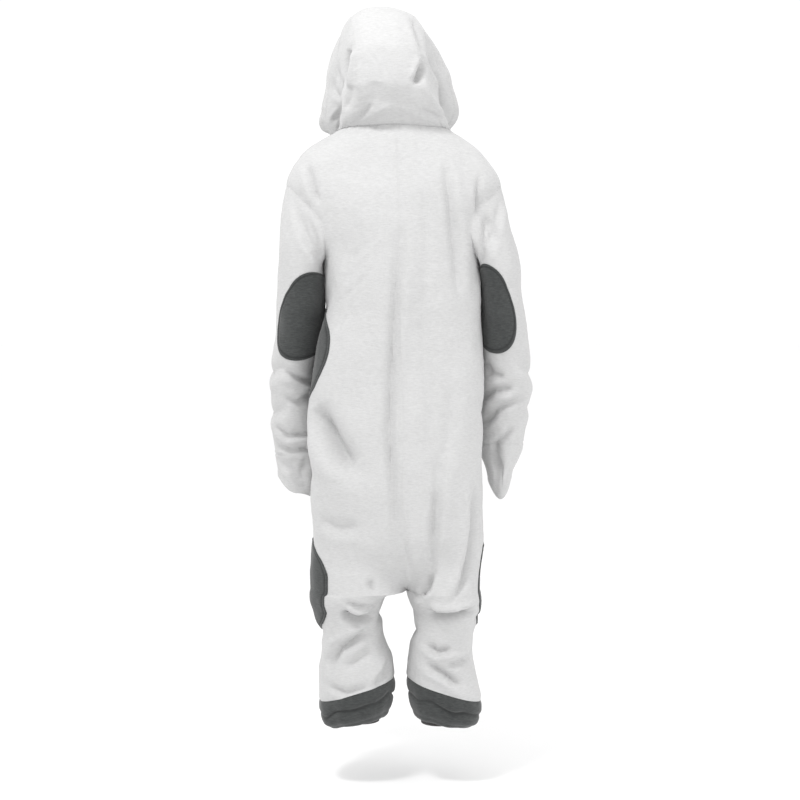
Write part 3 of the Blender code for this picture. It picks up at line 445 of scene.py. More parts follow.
LEFT_SLEEVE_FOLDS = {
    "armpit": SeenFold(0.07, 0.009, -0.014, 0.0, ((306, 213), (314, 232), (323, 260))),
    "cap": SeenFold(0.07, 0.009, -0.011, 0.3, ((293, 188), (299, 215), (308, 240), (321, 263))),
    "elbow_upper": SeenFold(0.01, 0.008, -0.012, 0.4, ((284, 371), (298, 378), (316, 384))),
    "elbow_lower": SeenFold(0.0, 0.008, -0.0095, 0.4, ((319, 391), (300, 402), (284, 398))),
    "wrist_upper": SeenFold(-0.01, 0.007, -0.0125, 0.4, ((273, 427), (286, 437), (314, 434))),
    "wrist_lower": SeenFold(-0.02, 0.006, -0.01, 0.4, ((275, 446), (290, 451), (315, 449))),
    "upper_arm": SeenFold(0.04, 0.012, -0.0035, 0.3, ((286, 300), (300, 318), (318, 322))),
}

RIGHT_SLEEVE_FOLDS = {
    "armpit": SeenFold(0.07, 0.009, -0.012, 0.0, ((487, 212), (485, 240), (482, 264))),
    "cap": SeenFold(0.08, 0.008, -0.008, -0.3, ((500, 196), (497, 222), (490, 250))),
    "elbow_upper": SeenFold(0.01, 0.008, -0.011, 0.3, ((482, 361), (490, 373), (503, 378))),
    "elbow_middle": SeenFold(0.0, 0.009, -0.014, 0.35, ((481, 400), (492, 391), (512, 389))),
    "elbow_lower": SeenFold(-0.01, 0.008, -0.013, 0.35, ((483, 425), (496, 410), (512, 402), (528, 395))),
    "wrist": SeenFold(-0.02, 0.007, -0.013, 0.35, ((483, 453), (494, 445), (506, 436), (514, 427))),
}

HOOD_FOLDS = {
    "left_pocket": SeenFold(0.06, 0.0095, -0.022, 0.0, ((347, 58), (343, 72), (339, 85))),
    "left_pocket_side": SeenFold(0.05, 0.008, -0.015, 0.0, ((334, 66), (338, 80))),
    "left_pocket_ridge": SeenFold(0.055, 0.004, 0.006, 0.0, ((330, 71), (337, 80), (344, 89))),
    "left_pocket_tail": SeenFold(0.045, 0.005, -0.01, 0.0, ((330, 77), (333, 87), (338, 95))),
    "left_swirl": SeenFold(0.08, 0.013, -0.009, 0.0, ((350, 86), (349, 98), (344, 109))),
    "left_swirl_tail": SeenFold(0.05, 0.005, -0.006, 0.4, ((340, 104), (335, 110), (331, 116))),
    "neck_ridge": SeenFold(0.09, 0.006, 0.0055, 0.0, ((360, 121), (376, 112), (392, 106))),
    "neck_left": SeenFold(0.09, 0.0055, -0.01, 0.5, ((347, 123), (357, 119), (366, 111), (370, 105))),
    "neck_middle": SeenFold(0.09, 0.008, -0.006, 0.3, ((370, 120), (386, 117), (404, 115))),
    "neck_nick": SeenFold(0.03, 0.004, -0.007, 0.0, ((336, 111), (337, 120), (337, 128))),
    "left_edge": SeenFold(0.0, 0.007, -0.007, 0.0, ((319, 103), (322, 120), (328, 137))),
    "middle_hollow": SeenFold(0.12, 0.018, -0.0045, 0.0, ((377, 82), (374, 102))),
    "left_top": SeenFold(0.04, 0.01, -0.007, 0.0, ((345, 18), (340, 35), (337, 52))),
    "strip_right_top": SeenFold(0.08, 0.009, -0.008, 0.35, ((414, 14), (420, 36), (426, 56))),
    "right_pocket": SeenFold(0.1, 0.0075, -0.019, 0.3, ((425, 60), (421, 72), (416, 84))),
    "right_ridge": SeenFold(0.09, 0.007, 0.0075, 0.0, ((422, 80), (428, 94), (438, 107), (448, 118))),
    "right_panel": SeenFold(0.04, 0.007, -0.019, 0.0, ((433, 56), (437, 80), (442, 104))),
    "right_panel_inner": SeenFold(0.04, 0.006, -0.017, 0.0, ((438, 66), (441, 92))),
    "neck_right": SeenFold(0.07, 0.008, -0.012, 0.3, ((420, 111), (430, 115), (441, 118))),
}

BODY_CREASES = seen(BODY_FOLDS) + deepened(BODY_GAIN, (
    Crease(Face.FRONT, ((0.085, -0.120), (0.108, -0.220), (0.120, -0.330)), 0.020, -0.0060, 0.3),
    Crease(Face.FRONT, ((-0.090, -0.140), (-0.104, -0.250), (-0.110, -0.360)), 0.020, -0.0055, -0.3),
    Crease(Face.FRONT, ((0.050, -0.300), (0.064, -0.420), (0.056, -0.520)), 0.024, -0.0035),
    Crease(Face.FRONT, ((-0.060, -0.420), (-0.072, -0.520), (-0.062, -0.640)), 0.022, -0.0035),
    Crease(Face.FRONT, ((0.124, -0.560), (0.112, -0.700), (0.090, -0.860)), 0.018, -0.0085, 0.4),
    Crease(Face.FRONT, ((-0.118, -0.600), (-0.104, -0.760), (-0.070, -0.930)), 0.017, -0.0095, -0.4),
    Crease(Face.FRONT, ((0.150, -0.900), (0.110, -0.945), (0.060, -0.978)), 0.015, -0.0085, 0.4),
    Crease(Face.FRONT, ((-0.142, -0.880), (-0.100, -0.935), (-0.045, -0.985)), 0.014, -0.0090, -0.4),
    Crease(Face.FRONT, ((0.052, -1.060), (0.100, -1.080), (0.156, -1.096)), 0.011, -0.0095, 0.4),
    Crease(Face.FRONT, ((-0.036, -1.088), (-0.090, -1.078), (-0.146, -1.066)), 0.011, -0.0095, 0.4),
    Crease(Face.FRONT, ((0.046, -1.128), (0.080, -1.152), (0.118, -1.170)), 0.012, -0.0070, 0.4),
    Crease(Face.FRONT, ((-0.136, -1.138), (-0.100, -1.164), (-0.062, -1.182)), 0.012, -0.0070, 0.4),
    Crease(Face.FRONT, ((0.150, -1.010), (0.120, -1.030), (0.070, -1.024)), 0.013, -0.0070, 0.3),
    Crease(Face.FRONT, ((-0.030, -1.020), (-0.090, -1.034), (-0.150, -1.020)), 0.013, -0.0065, 0.3),
    Crease(Face.LEFT, ((0.060, -0.330), (0.000, -0.420), (-0.060, -0.470)), 0.016, -0.0035),
    Crease(Face.LEFT, ((0.060, -0.700), (0.000, -0.740), (-0.070, -0.720)), 0.018, -0.0040),
    Crease(Face.RIGHT, ((0.070, -0.560), (0.000, -0.640), (-0.060, -0.700)), 0.018, -0.0040),
    Crease(Face.RIGHT, ((0.050, -1.050), (-0.010, -1.036), (-0.070, -1.050)), 0.011, -0.0070, 0.3),
    Crease(Face.LEFT, ((0.050, -1.064), (0.000, -1.080), (-0.060, -1.070)), 0.011, -0.0060, 0.3),
))

SLEEVE_CREASES = {
    Side.LEFT: seen(LEFT_SLEEVE_FOLDS) + deepened(SLEEVE_GAIN, (
        Crease(Face.FRONT, ((0.275, -0.400), (0.240, -0.425), (0.205, -0.440)), 0.013, -0.0080, 0.4),
        Crease(Face.FRONT, ((0.215, -0.520), (0.245, -0.545), (0.270, -0.560)), 0.012, -0.0070, 0.4),
        Crease(Face.FRONT, ((0.270, -0.280), (0.240, -0.310), (0.214, -0.320)), 0.015, -0.0050, 0.3),
        Crease(Face.LEFT, ((0.030, -0.500), (-0.040, -0.520), (-0.110, -0.480)), 0.013, -0.0055, 0.4),
        Crease(Face.LEFT, ((0.010, -0.590), (-0.060, -0.610), (-0.130, -0.590)), 0.013, -0.0040, 0.4),
    )),
    Side.RIGHT: seen(RIGHT_SLEEVE_FOLDS) + deepened(SLEEVE_GAIN, (
        Crease(Face.FRONT, ((-0.262, -0.410), (-0.230, -0.434), (-0.200, -0.445)), 0.013, -0.0080, 0.4),
        Crease(Face.FRONT, ((-0.205, -0.530), (-0.235, -0.550), (-0.260, -0.565)), 0.012, -0.0070, 0.4),
        Crease(Face.FRONT, ((-0.250, -0.290), (-0.226, -0.316), (-0.200, -0.330)), 0.015, -0.0050, 0.3),
        Crease(Face.RIGHT, ((0.030, -0.480), (-0.040, -0.520), (-0.110, -0.540)), 0.013, -0.0055, 0.4),
        Crease(Face.RIGHT, ((0.010, -0.600), (-0.060, -0.590), (-0.130, -0.610)), 0.013, -0.0040, 0.4),
    )),
}

COVER_CREASES = {
    Side.LEFT: deepened(COVER_GAIN, (
        Crease(Face.BACK, ((0.268, -0.716), (0.244, -0.730), (0.222, -0.760)), 0.009, -0.0035, 0.4),
        Crease(Face.BACK, ((0.210, -0.708), (0.222, -0.734), (0.214, -0.772)), 0.009, -0.0030),
        Crease(Face.FRONT, ((0.262, -0.720), (0.236, -0.742), (0.226, -0.764)), 0.010, -0.0035, 0.4),
    )),
    Side.RIGHT: deepened(COVER_GAIN, (
        Crease(Face.BACK, ((-0.190, -0.690), (-0.214, -0.724), (-0.218, -0.776)), 0.010, -0.0040),
        Crease(Face.BACK, ((-0.248, -0.690), (-0.240, -0.724), (-0.228, -0.760)), 0.010, -0.0030),
        Crease(Face.FRONT, ((-0.250, -0.700), (-0.226, -0.716), (-0.206, -0.736)), 0.010, -0.0035, 0.4),
    )),
}

HOOD_CREASES = seen(HOOD_FOLDS) + (
    Crease(Face.LEFT, ((0.080, 0.172), (0.072, 0.134), (0.062, 0.100)), 0.012, -0.0270, 0.3),
    Crease(Face.RIGHT, ((-0.010, 0.240), (-0.050, 0.190), (-0.080, 0.130)), 0.034, -0.0100),
    Crease(Face.RIGHT, ((0.030, 0.160), (0.010, 0.110), (0.000, 0.060)), 0.010, -0.0160, 0.3),
) + deepened(HOOD_GAIN, (
    Crease(Face.LEFT, ((0.040, 0.110), (-0.010, 0.080), (-0.060, 0.060)), 0.013, -0.0085, 0.4),
    Crease(Face.RIGHT, ((0.040, 0.150), (-0.010, 0.110), (-0.070, 0.060)), 0.014, -0.0095, 0.4),
    Crease(Face.LEFT, ((-0.020, 0.200), (-0.040, 0.160), (-0.070, 0.120)), 0.014, -0.0050, 0.4),
    Crease(Face.RIGHT, ((-0.010, 0.210), (-0.040, 0.180), (-0.080, 0.150)), 0.014, -0.0050, 0.4),
    Crease(Face.LEFT, ((0.030, 0.060), (-0.020, 0.036), (-0.060, 0.010)), 0.011, -0.0060, 0.4),
    Crease(Face.RIGHT, ((0.030, 0.050), (-0.020, 0.030), (-0.070, 0.016)), 0.011, -0.0060, 0.4),
))


# Cloth maths


class SizeTable:
    """Rows of named sizes, read at any place along their key on a smooth curve with no overshoot."""

    def __init__(self, rows: Sequence[Any], key: str) -> None:
        """Sort the rows by their key.

        Args:
            rows: The named rows.
            key: The column that the others are read along.
        """
        self.rows = sorted(rows, key=lambda row: getattr(row, key))
        self.keys = np.array([getattr(row, key) for row in self.rows])

    def at(self, name: str, place: Array) -> Array:
        """Read one column.

        Args:
            name: The column.
            place: Where along the key.

        Returns:
            The column's value at each place.
        """
        values = np.array([getattr(row, name) for row in self.rows])
        steps = np.diff(self.keys)
        slopes = np.diff(values) / steps
        product, total = slopes[:-1] * slopes[1:], slopes[:-1] + slopes[1:]
        inner = np.where(product > 0, 2 * product / np.where(total == 0, 1, total), 0.0)
        tangents = np.concatenate([slopes[:1], inner, slopes[-1:]])
        at = np.clip(place, self.keys[0], self.keys[-1])
        i = np.clip(np.searchsorted(self.keys, at) - 1, 0, len(self.keys) - 2)
        t = (at - self.keys[i]) / steps[i]
        ends = values[i] * (1 + 2 * t) * (1 - t) ** 2 + values[i + 1] * t * t * (3 - 2 * t)
        return ends + steps[i] * (tangents[i] * t * (1 - t) ** 2 - tangents[i + 1] * t * t * (1 - t))


def soft_step(low: float, high: float, value: Array) -> Array:
    """A smooth rise from 0 at low to 1 at high."""
    t = np.clip((value - low) / (high - low), 0.0, 1.0)
    return t * t * (3 - 2 * t)


def rounded(value: Array, square: Array) -> Array:
    """A sine or cosine bent towards a squarer curve, its sign kept."""
    return np.sign(value) * np.abs(value) ** (2.0 / square)


def stack(x: Array, y: Array, z: Array) -> Array:
    """Three coordinates as rows of points."""
    return np.stack(np.broadcast_arrays(x, y, z), axis=-1)


def unit(vectors: Array) -> Array:
    """The same directions at length 1."""
    return vectors / np.maximum(np.linalg.norm(vectors, axis=-1, keepdims=True), 1e-12)


def surface_normals(
    surface: Callable[[Array, Array], Array], across: Array, along: Array,
    steps: tuple[float, float], limits: tuple[float, float], outward: int,
) -> Array:
    """Work out the normals of a surface function by the change round each point.

    Args:
        surface: Points from two parameters.
        across: The first parameter.
        along: The second parameter.
        steps: How far to look either way along each parameter.
        limits: The second parameter's lowest and highest value.
        outward: 1 or -1, for a surface whose parameters run the other way round.

    Returns:
        Unit normals.
    """
    low = np.maximum(along - steps[1], limits[0])
    high = np.minimum(along + steps[1], limits[1])
    over = surface(across + steps[0], along) - surface(across - steps[0], along)
    down = surface(across, high) - surface(across, low)
    return unit(np.cross(over, down)) * outward


def crease_push(points: Array, normals: Array, creases: Sequence[Crease]) -> Array:
    """Add up how far the creases push each point along its normal.

    Args:
        points: Points of the plain surface.
        normals: Their normals.
        creases: The creases on any face.

    Returns:
        The push at each point, in metres.
    """
    push = np.zeros(points.shape[:-1])
    for crease in creases:
        look = np.array(crease.face.value)
        facing = soft_step(0.05, 0.55, normals @ look)
        plane = points[..., [1 if abs(look[0]) > 0.5 else 0, 2]]
        nearest = np.full(push.shape, 1e9)
        beside, place = np.zeros(push.shape), np.zeros(push.shape)
        steps = [math.dist(start, end) for start, end in zip(crease.path[:-1], crease.path[1:])]
        run = 0.0
        for start, end, step in zip(crease.path[:-1], crease.path[1:], steps):
            a, line = np.array(start), np.array(end) - np.array(start)
            share = np.clip((plane - a) @ line / (line @ line), 0.0, 1.0)
            away = plane - a - share[..., None] * line
            distance = np.linalg.norm(away, axis=-1)
            left = (away @ np.array([-line[1], line[0]])) / step
            closer = distance < nearest
            beside = np.where(closer, left, beside)
            place = np.where(closer, (run + share * step) / sum(steps), place)
            nearest = np.minimum(distance, nearest)
            run += step
        near = nearest / crease.half_width
        depth = crease.depth * facing * (1.0 - END_FADE * np.abs(2.0 * place - 1.0) ** 4)
        push += depth * np.exp(-near ** FOLD_SHARPNESS)
        if crease.lip:
            offset = beside * np.sign(crease.lip) / crease.half_width
            ridge = np.exp(-((near - 1.9) / 1.0) ** 2) * soft_step(0.2, 1.4, offset)
            push -= depth * abs(crease.lip) * ridge
    return push


@dataclass(frozen=True)
class Unevenness:
    """The small lumps of worn cloth, as waves in directions fixed by a seed."""

    seed: int = 11
    broad: float = 0.0013
    fine: float = 0.00028
    broad_lengths: tuple[float, float] = (0.075, 0.190)
    fine_lengths: tuple[float, float] = (0.018, 0.045)
    waves: int = 16

    def push(self, points: Array) -> Array:
        """How far each point is pushed along its normal."""
        rng = np.random.default_rng(self.seed)
        total = np.zeros(points.shape[:-1])
        for height, lengths in ((self.broad, self.broad_lengths), (self.fine, self.fine_lengths)):
            for _ in range(self.waves):
                way = unit(rng.normal(size=3) * np.array([1.0, 1.0, 0.7]))
                length, phase = rng.uniform(*lengths), rng.uniform(0, 2 * np.pi)
                total += height * np.sqrt(2 / self.waves) * np.sin(
                    points @ way * 2 * np.pi / length + phase)
        return total


@dataclass(frozen=True)
class Seam:
    """How the cloth is drawn in along one edge of a piece.

    The dip is how deep the seam lies and reach how far it is felt. Puckers are ripples that run into
    the seam. A hem has a stitched groove that lies inside the edge. A roll is the soft ridge where
    the cloth is turned in along the seam.
    """

    edge: Edge
    dip: float = 0.0012
    reach: float = 0.0045
    pucker: float = 0.0004
    beat: float = 0.017
    groove: float = 0.0
    groove_depth: float = 0.0007
    roll: float = 0.0


def edge_measures(grid: Array, edge: Edge) -> tuple[Array, Array]:
    """Measure a grid of points from one edge.

    Args:
        grid: Rows and columns of points.
        edge: The edge.

    Returns:
        Each point's distance from the edge, and its place along it, in metres.
    """
    axis = 0 if edge in (Edge.TOP, Edge.FOOT) else 1
    lengths = np.linalg.norm(np.diff(grid, axis=axis), axis=-1)
    zero = np.zeros_like(np.take(lengths, [0], axis=axis))
    run = np.concatenate([zero, np.cumsum(lengths, axis=axis)], axis=axis)
    distance = run if edge in (Edge.TOP, Edge.START) else np.take(run, [-1], axis=axis) - run
    line = np.take(grid, 0 if edge in (Edge.TOP, Edge.START) else -1, axis=axis)
    steps = np.linalg.norm(np.diff(line, axis=0), axis=-1)
    along = np.concatenate([[0.0], np.cumsum(steps)])
    return distance, along[None, :] if axis == 0 else along[:, None]


def press_seams(grid: Array, normals: Array, seams: Sequence[Seam]) -> tuple[Array, Array]:
    """Draw the cloth in along its seams.

    Args:
        grid: Rows and columns of points.
        normals: Their outward normals.
        seams: The seams.

    Returns:
        The points drawn in, and how near a seam each lies, from 0 to 1, which sets the painted seam shade.
    """
    push = np.zeros(grid.shape[:-1])
    near = np.zeros(grid.shape[:-1])
    for seam in seams:
        distance, along = edge_measures(grid, seam.edge)
        beat = 2 * np.pi * along / seam.beat
        ripple = np.sin(beat + 1.7 * np.sin(beat * 0.31)) + 0.6 * np.sin(beat * 0.57 + 1.1)
        push -= seam.dip * np.exp(-(distance / seam.reach) ** 2)
        push += seam.pucker * ripple * np.exp(-distance / 0.011) * (1 - np.exp(-distance / 0.002))
        push += seam.roll * np.exp(-((distance - seam.reach * 1.6) / (seam.reach * 1.1)) ** 2)
        # How near the seam, later painted as shade in the cloth's colour.
        near = np.maximum(near, np.exp(-(distance / (seam.reach * 0.6)) ** 2))
        if seam.groove:
            push -= seam.groove_depth * np.exp(-((distance - seam.groove) / 0.0022) ** 2)
            push += 0.0005 * soft_step(seam.groove + 0.002, seam.groove - 0.004, distance)
    return grid + normals * push[..., None], near


def join_edge(grid: Array, edge: Edge, target: Array, reach: float) -> Array:
    """Bring one edge of a grid onto a neighbour's line, easing off into the piece.

    Args:
        grid: Rows and columns of points.
        edge: The edge that is joined.
        target: The neighbour's points.
        reach: How far the change is felt.

    Returns:
        The changed points.
    """
    index = 0 if edge in (Edge.TOP, Edge.START) else -1
    rows = edge in (Edge.TOP, Edge.FOOT)
    shift = target - (grid[index] if rows else grid[:, index])
    distance, _ = edge_measures(grid, edge)
    ease = np.exp(-(distance / reach) ** 2)[..., None]
    return grid + (shift[None, :] if rows else shift[:, None]) * ease


def even_steps(start: float, stop: float, step: float) -> Array:
    """Places from start to stop, both kept, about a step apart."""
    return np.linspace(start, stop, max(2, round(abs(stop - start) / step) + 1))


# Finishes


class Value:
    """One socket of a shader, with arithmetic that adds Math nodes."""

    def __init__(self, sheet: "ShaderSheet", socket: bpy.types.NodeSocket) -> None:
        """Keep the socket and the sheet that it is on."""
        self.sheet, self.socket = sheet, socket

    def _math(self, operation: str, first: Any, second: Any) -> "Value":
        """One Math node on two numbers or values."""
        return self.sheet.node("ShaderNodeMath", {"operation": operation}, {0: first, 1: second})

    def __add__(self, other: Any) -> "Value":
        """Sum."""
        return self._math("ADD", self, other)

    def __radd__(self, other: Any) -> "Value":
        """Sum, the number first."""
        return self._math("ADD", other, self)

    def __sub__(self, other: Any) -> "Value":
        """Difference."""
        return self._math("SUBTRACT", self, other)

    def __rsub__(self, other: Any) -> "Value":
        """Difference, the number first."""
        return self._math("SUBTRACT", other, self)

    def __mul__(self, other: Any) -> "Value":
        """Product."""
        return self._math("MULTIPLY", self, other)

    def clamped(self) -> "Value":
        """The value held between 0 and 1."""
        return self.sheet.node("ShaderNodeClamp", {}, {0: self, 1: 0.0, 2: 1.0})


class ShaderSheet:
    """The node tree of one material."""

    def __init__(self, name: str) -> None:
        """Start a material.

        Args:
            name: The material's name.
        """
        self.material = bpy.data.materials.new(name)
        self.material.use_nodes = True
        self.tree = self.material.node_tree
        self.shader = self.tree.nodes["Principled BSDF"]

    def node(self, kind: str, settings: dict[str, Any], inputs: dict[Any, Any],
             output: int | str = 0) -> Value:
        """Add a node.

        Args:
            kind: The node's type.
            settings: Its properties, set first.
            inputs: Numbers, colours or values for its sockets, by name or place.
            output: The socket that is returned.

        Returns:
            The output's value.
        """
        made = self.tree.nodes.new(kind)
        for name, value in settings.items():
            setattr(made, name, value)
        for name, value in inputs.items():
            if isinstance(value, Value):
                self.tree.links.new(value.socket, made.inputs[name])
            else:
                made.inputs[name].default_value = value
        return Value(self, made.outputs[output])

    def place(self) -> Value:
        """The point's place on the object, in metres."""
        return self.node("ShaderNodeTexCoord", {}, {}, "Object")

    def noise(self, stretch: tuple[float, float, float], detail: float, roughness: float) -> Value:
        """A noise with so many lumps a metre along each axis."""
        at = self.node("ShaderNodeMapping", {}, {"Vector": self.place(), "Scale": stretch}, "Vector")
        return self.node("ShaderNodeTexNoise", {}, {"Vector": at, "Scale": 1.0, "Detail": detail,
                                                    "Roughness": roughness}, "Fac")

    def mark(self, name: str) -> Value:
        """A number kept on the mesh's points."""
        return self.node("ShaderNodeAttribute", {"attribute_name": name}, {}, "Fac")

    def blend(self, share: Any, first: Any, second: Any) -> Value:
        """Mix two colours."""
        return self.node("ShaderNodeMix", {"data_type": "RGBA"}, {0: share, 6: first, 7: second}, 2)

    def bump(self, height: Value, distance: float, strength: float) -> None:
        """Send a height to the shader's normal."""
        bumped = self.node("ShaderNodeBump", {}, {"Height": height, "Distance": distance,
                                                  "Strength": strength}, "Normal")
        self.tree.links.new(bumped.socket, self.shader.inputs["Normal"])

    def feed(self, name: str, value: Any) -> None:
        """Send a value to one of the shader's sockets."""
        if isinstance(value, Value):
            self.tree.links.new(value.socket, self.shader.inputs[name])
        else:
            self.shader.inputs[name].default_value = value


def grey(level: float, warmth: float = 0.0) -> tuple[float, float, float, float]:
    """A near-neutral colour, a little warm or cool."""
    return (level * (1 + warmth), level, level * (1 - warmth), 1.0)


class Finish:
    """A material that is built once and found by its name after that."""

    def material(self) -> bpy.types.Material:
        """Find the material, or build it."""
        known = bpy.data.materials.get(self.name)
        if known is None:
            sheet = ShaderSheet(self.name)
            self.shade(sheet)
            known = sheet.material
        return known


@dataclass(frozen=True)
class Fleece(Finish):
    """Brushed fleece: short lines of nap across the garment, loose fibres, soft blotches and painted seam
    shade.
    """

    name: str
    low: tuple[float, float, float, float]
    high: tuple[float, float, float, float]
    # The seam colour is painted shade: the cloth darkens towards it near seams, stitch lines and cuff
    # creases.
    seam: tuple[float, float, float, float]
    sheen: float
    seam_weight: float
    relief: float = 0.0011
    nap: tuple[float, float, float] = (95.0, 95.0, 430.0)
    fibre: tuple[float, float, float] = (620.0, 620.0, 1500.0)

    def shade(self, sheet: ShaderSheet) -> None:
        """Add the nodes."""
        nap = sheet.noise(self.nap, 3.0, 0.62)
        fibre = sheet.noise(self.fibre, 2.0, 0.6)
        blotch = sheet.noise((14.0, 14.0, 20.0), 2.0, 0.5)
        tone = ((nap - 0.5) * 1.5 + (fibre - 0.5) * 0.8 + (blotch - 0.5) * 0.25 + 0.5).clamped()
        cloth = sheet.blend(tone, self.low, self.high)
        # Painted shade: the base colour darkens towards the seam colour where the seam_shade mark is high.
        painted_seam_shade = (sheet.mark("seam_shade") * self.seam_weight).clamped()
        sheet.feed("Base Color", sheet.blend(painted_seam_shade, cloth, self.seam))
        sheet.feed("Roughness", 0.97 - fibre * 0.12)
        sheet.feed("Sheen Weight", self.sheen)
        sheet.feed("Sheen Roughness", 0.55)
        sheet.feed("Specular IOR Level", 0.18)
        sheet.bump(nap * 0.75 + fibre * 0.45, self.relief, 0.75)


@dataclass(frozen=True)
class Elastic(Finish):
    """Woven elastic: fine upright ribs crossed by thread."""

    name: str = "woven_elastic"
    colour: tuple[float, float, float, float] = (0.030, 0.028, 0.028, 1.0)

    def shade(self, sheet: ShaderSheet) -> None:
        """Add the nodes."""
        weave = sheet.noise((500.0, 500.0, 1400.0), 2.0, 0.6)
        light = tuple(min(1.0, c * 2.1) for c in self.colour[:3]) + (1.0,)
        sheet.feed("Base Color", sheet.blend(weave, self.colour, light))
        sheet.feed("Roughness", 0.92 - weave * 0.2)
        sheet.feed("Sheen Weight", 0.15)
        sheet.bump(weave, 0.0006, 0.7)


@dataclass(frozen=True)
class MouldedPlastic(Finish):
    """Pale button plastic with a faint cloud and a soft gloss."""

    name: str = "button_plastic"
    colour: tuple[float, float, float, float] = (0.72, 0.72, 0.69, 1.0)

    def shade(self, sheet: ShaderSheet) -> None:
        """Add the nodes."""
        cloud = sheet.noise((180.0, 180.0, 180.0), 3.0, 0.5)
        scratch = sheet.noise((900.0, 900.0, 5200.0), 2.0, 0.5)
        dull = tuple(c * 0.82 for c in self.colour[:3]) + (1.0,)
        sheet.feed("Base Color", sheet.blend(cloud, dull, self.colour))
        sheet.feed("Roughness", 0.28 + scratch * 0.16)
        sheet.bump(scratch, 0.00008, 0.35)


@dataclass(frozen=True)
class SewingThread(Finish):
    """Twisted sewing thread."""

    name: str
    colour: tuple[float, float, float, float]

    def shade(self, sheet: ShaderSheet) -> None:
        """Add the nodes."""
        twist = sheet.noise((1400.0, 1400.0, 2600.0), 2.0, 0.5)
        dull = tuple(c * 0.7 for c in self.colour[:3]) + (1.0,)
        sheet.feed("Base Color", sheet.blend(twist, dull, self.colour))
        sheet.feed("Roughness", 0.75 + twist * 0.15)
        sheet.bump(twist, 0.0002, 0.5)


WHITE_FLEECE = Fleece("white_fleece", grey(0.47, 0.001), grey(0.59, 0.001), grey(0.45, 0.002), 0.16, 0.10)
CHARCOAL_FLEECE = Fleece("charcoal_fleece", (0.026, 0.028, 0.028, 1.0), (0.072, 0.076, 0.075, 1.0),
                         (0.018, 0.019, 0.019, 1.0), 0.22, 0.5, relief=0.0009)
WOVEN_ELASTIC = Elastic()
BUTTON_PLASTIC = MouldedPlastic()
WHITE_THREAD = SewingThread("white_thread", grey(0.74))
DARK_THREAD = SewingThread("dark_thread", grey(0.022))


# Meshes


def finish_mesh(name: str, mesh: bpy.types.Mesh, material: bpy.types.Material) -> bpy.types.Object:
    """Put a mesh in the scene as one piece.

    Args:
        name: The piece's name.
        mesh: Its mesh.
        material: Its material.

    Returns:
        The object.
    """
    mesh.materials.clear()
    mesh.materials.append(material)
    mesh.shade_smooth()
    made = bpy.data.objects.new(name, mesh)
    bpy.context.scene.collection.objects.link(made)
    return made


def add_marks(mesh: bpy.types.Mesh, name: str, values: Array) -> None:
    """Keep a number on each point of a mesh."""
    layer = mesh.attributes.new(name, "FLOAT", "POINT")
    layer.data.foreach_set("value", np.ascontiguousarray(values, dtype=np.float32).ravel())


def grid_mesh(name: str, grid: Array, normals: Array, wrapped: bool = False) -> bpy.types.Mesh:
    """Turn rows and columns of points into one skin with its faces pointing out.

    Args:
        name: The mesh's name.
        grid: The points.
        normals: Their outward normals.
        wrapped: True for a tube, whose last column joins its first.

    Returns:
        The mesh.
    """
    rows, columns = grid.shape[:2]
    number = np.arange(rows * columns).reshape(rows, columns)
    right = np.roll(number, -1, axis=1) if wrapped else number[:, 1:]
    left = number if wrapped else number[:, :-1]
    quads = np.stack([left[:-1], right[:-1], right[1:], left[1:]], axis=-1).reshape(-1, 4)
    flat = grid.reshape(-1, 3)
    a, b, d = (flat[quads[:, k]] for k in (0, 1, 3))
    facing = (np.cross(b - a, d - a) * normals.reshape(-1, 3)[quads[:, 0]]).sum()
    if facing < 0:
        quads = quads[:, ::-1]
    mesh = bpy.data.meshes.new(name)
    mesh.from_pydata(flat.tolist(), [], quads.tolist())
    mesh.update()
    return mesh


@dataclass
class Cloth:
    """A finished grid of cloth points, kept so that other pieces can lie on it."""

    grid: Array
    normals: Array
    # How much painted shade each point takes near seams, stitches and creases, from 0 to 1.
    shade: Array

    def at(self, row: Array, column: Array) -> tuple[Array, Array]:
        """Read points and normals between the grid's own.

        Args:
            row: Places down the grid, with fractions.
            column: Places across it, with fractions. Beyond the last they go on from the first.

        Returns:
            The points and their normals.
        """
        rows, columns = self.grid.shape[:2]
        row = np.clip(row, 0, rows - 1.001)
        r, c = np.floor(row).astype(int), np.floor(column).astype(int)
        f, g = (row - r)[..., None], (column - c)[..., None]
        c0, c1 = c % columns, (c + 1) % columns
        found = []
        for values in (self.grid, self.normals):
            top = values[r, c0] * (1 - g) + values[r, c1] * g
            low = values[r + 1, c0] * (1 - g) + values[r + 1, c1] * g
            found.append(top * (1 - f) + low * f)
        return found[0], unit(found[1])


def cloth_piece(name: str, cloth: Cloth, wall: float, finish: Finish, wrapped: bool = False
                ) -> bpy.types.Object:
    """Make one cloth shell.

    Args:
        name: The piece's name.
        cloth: Its outer points.
        wall: The cloth's thickness.
        finish: What it is made of.
        wrapped: True for a tube.

    Returns:
        The piece, thickened inwards.
    """
    mesh = grid_mesh(name, cloth.grid, cloth.normals, wrapped)
    add_marks(mesh, "seam_shade", cloth.shade)
    made = finish_mesh(name, mesh, finish.material())
    thicken(made, wall)
    return made


def thicken(piece: bpy.types.Object, wall: float, edge_degrees: float = 68.0) -> None:
    """Give a skin its thickness, inwards from its outer side, and keep its cut edges crisp."""
    solid = piece.modifiers.new("wall", "SOLIDIFY")
    solid.thickness = wall
    solid.offset = -1.0
    solid.use_rim = True
    graph = bpy.context.evaluated_depsgraph_get()
    mesh = bpy.data.meshes.new_from_object(piece.evaluated_get(graph), depsgraph=graph)
    piece.modifiers.clear()
    piece.data = mesh
    mesh.set_sharp_from_angle(angle=math.radians(edge_degrees))


class StitchLine(NamedTuple):
    """A line of sewing: its points on the cloth and the way the cloth faces there."""

    points: Array
    normals: Array
    closed: bool


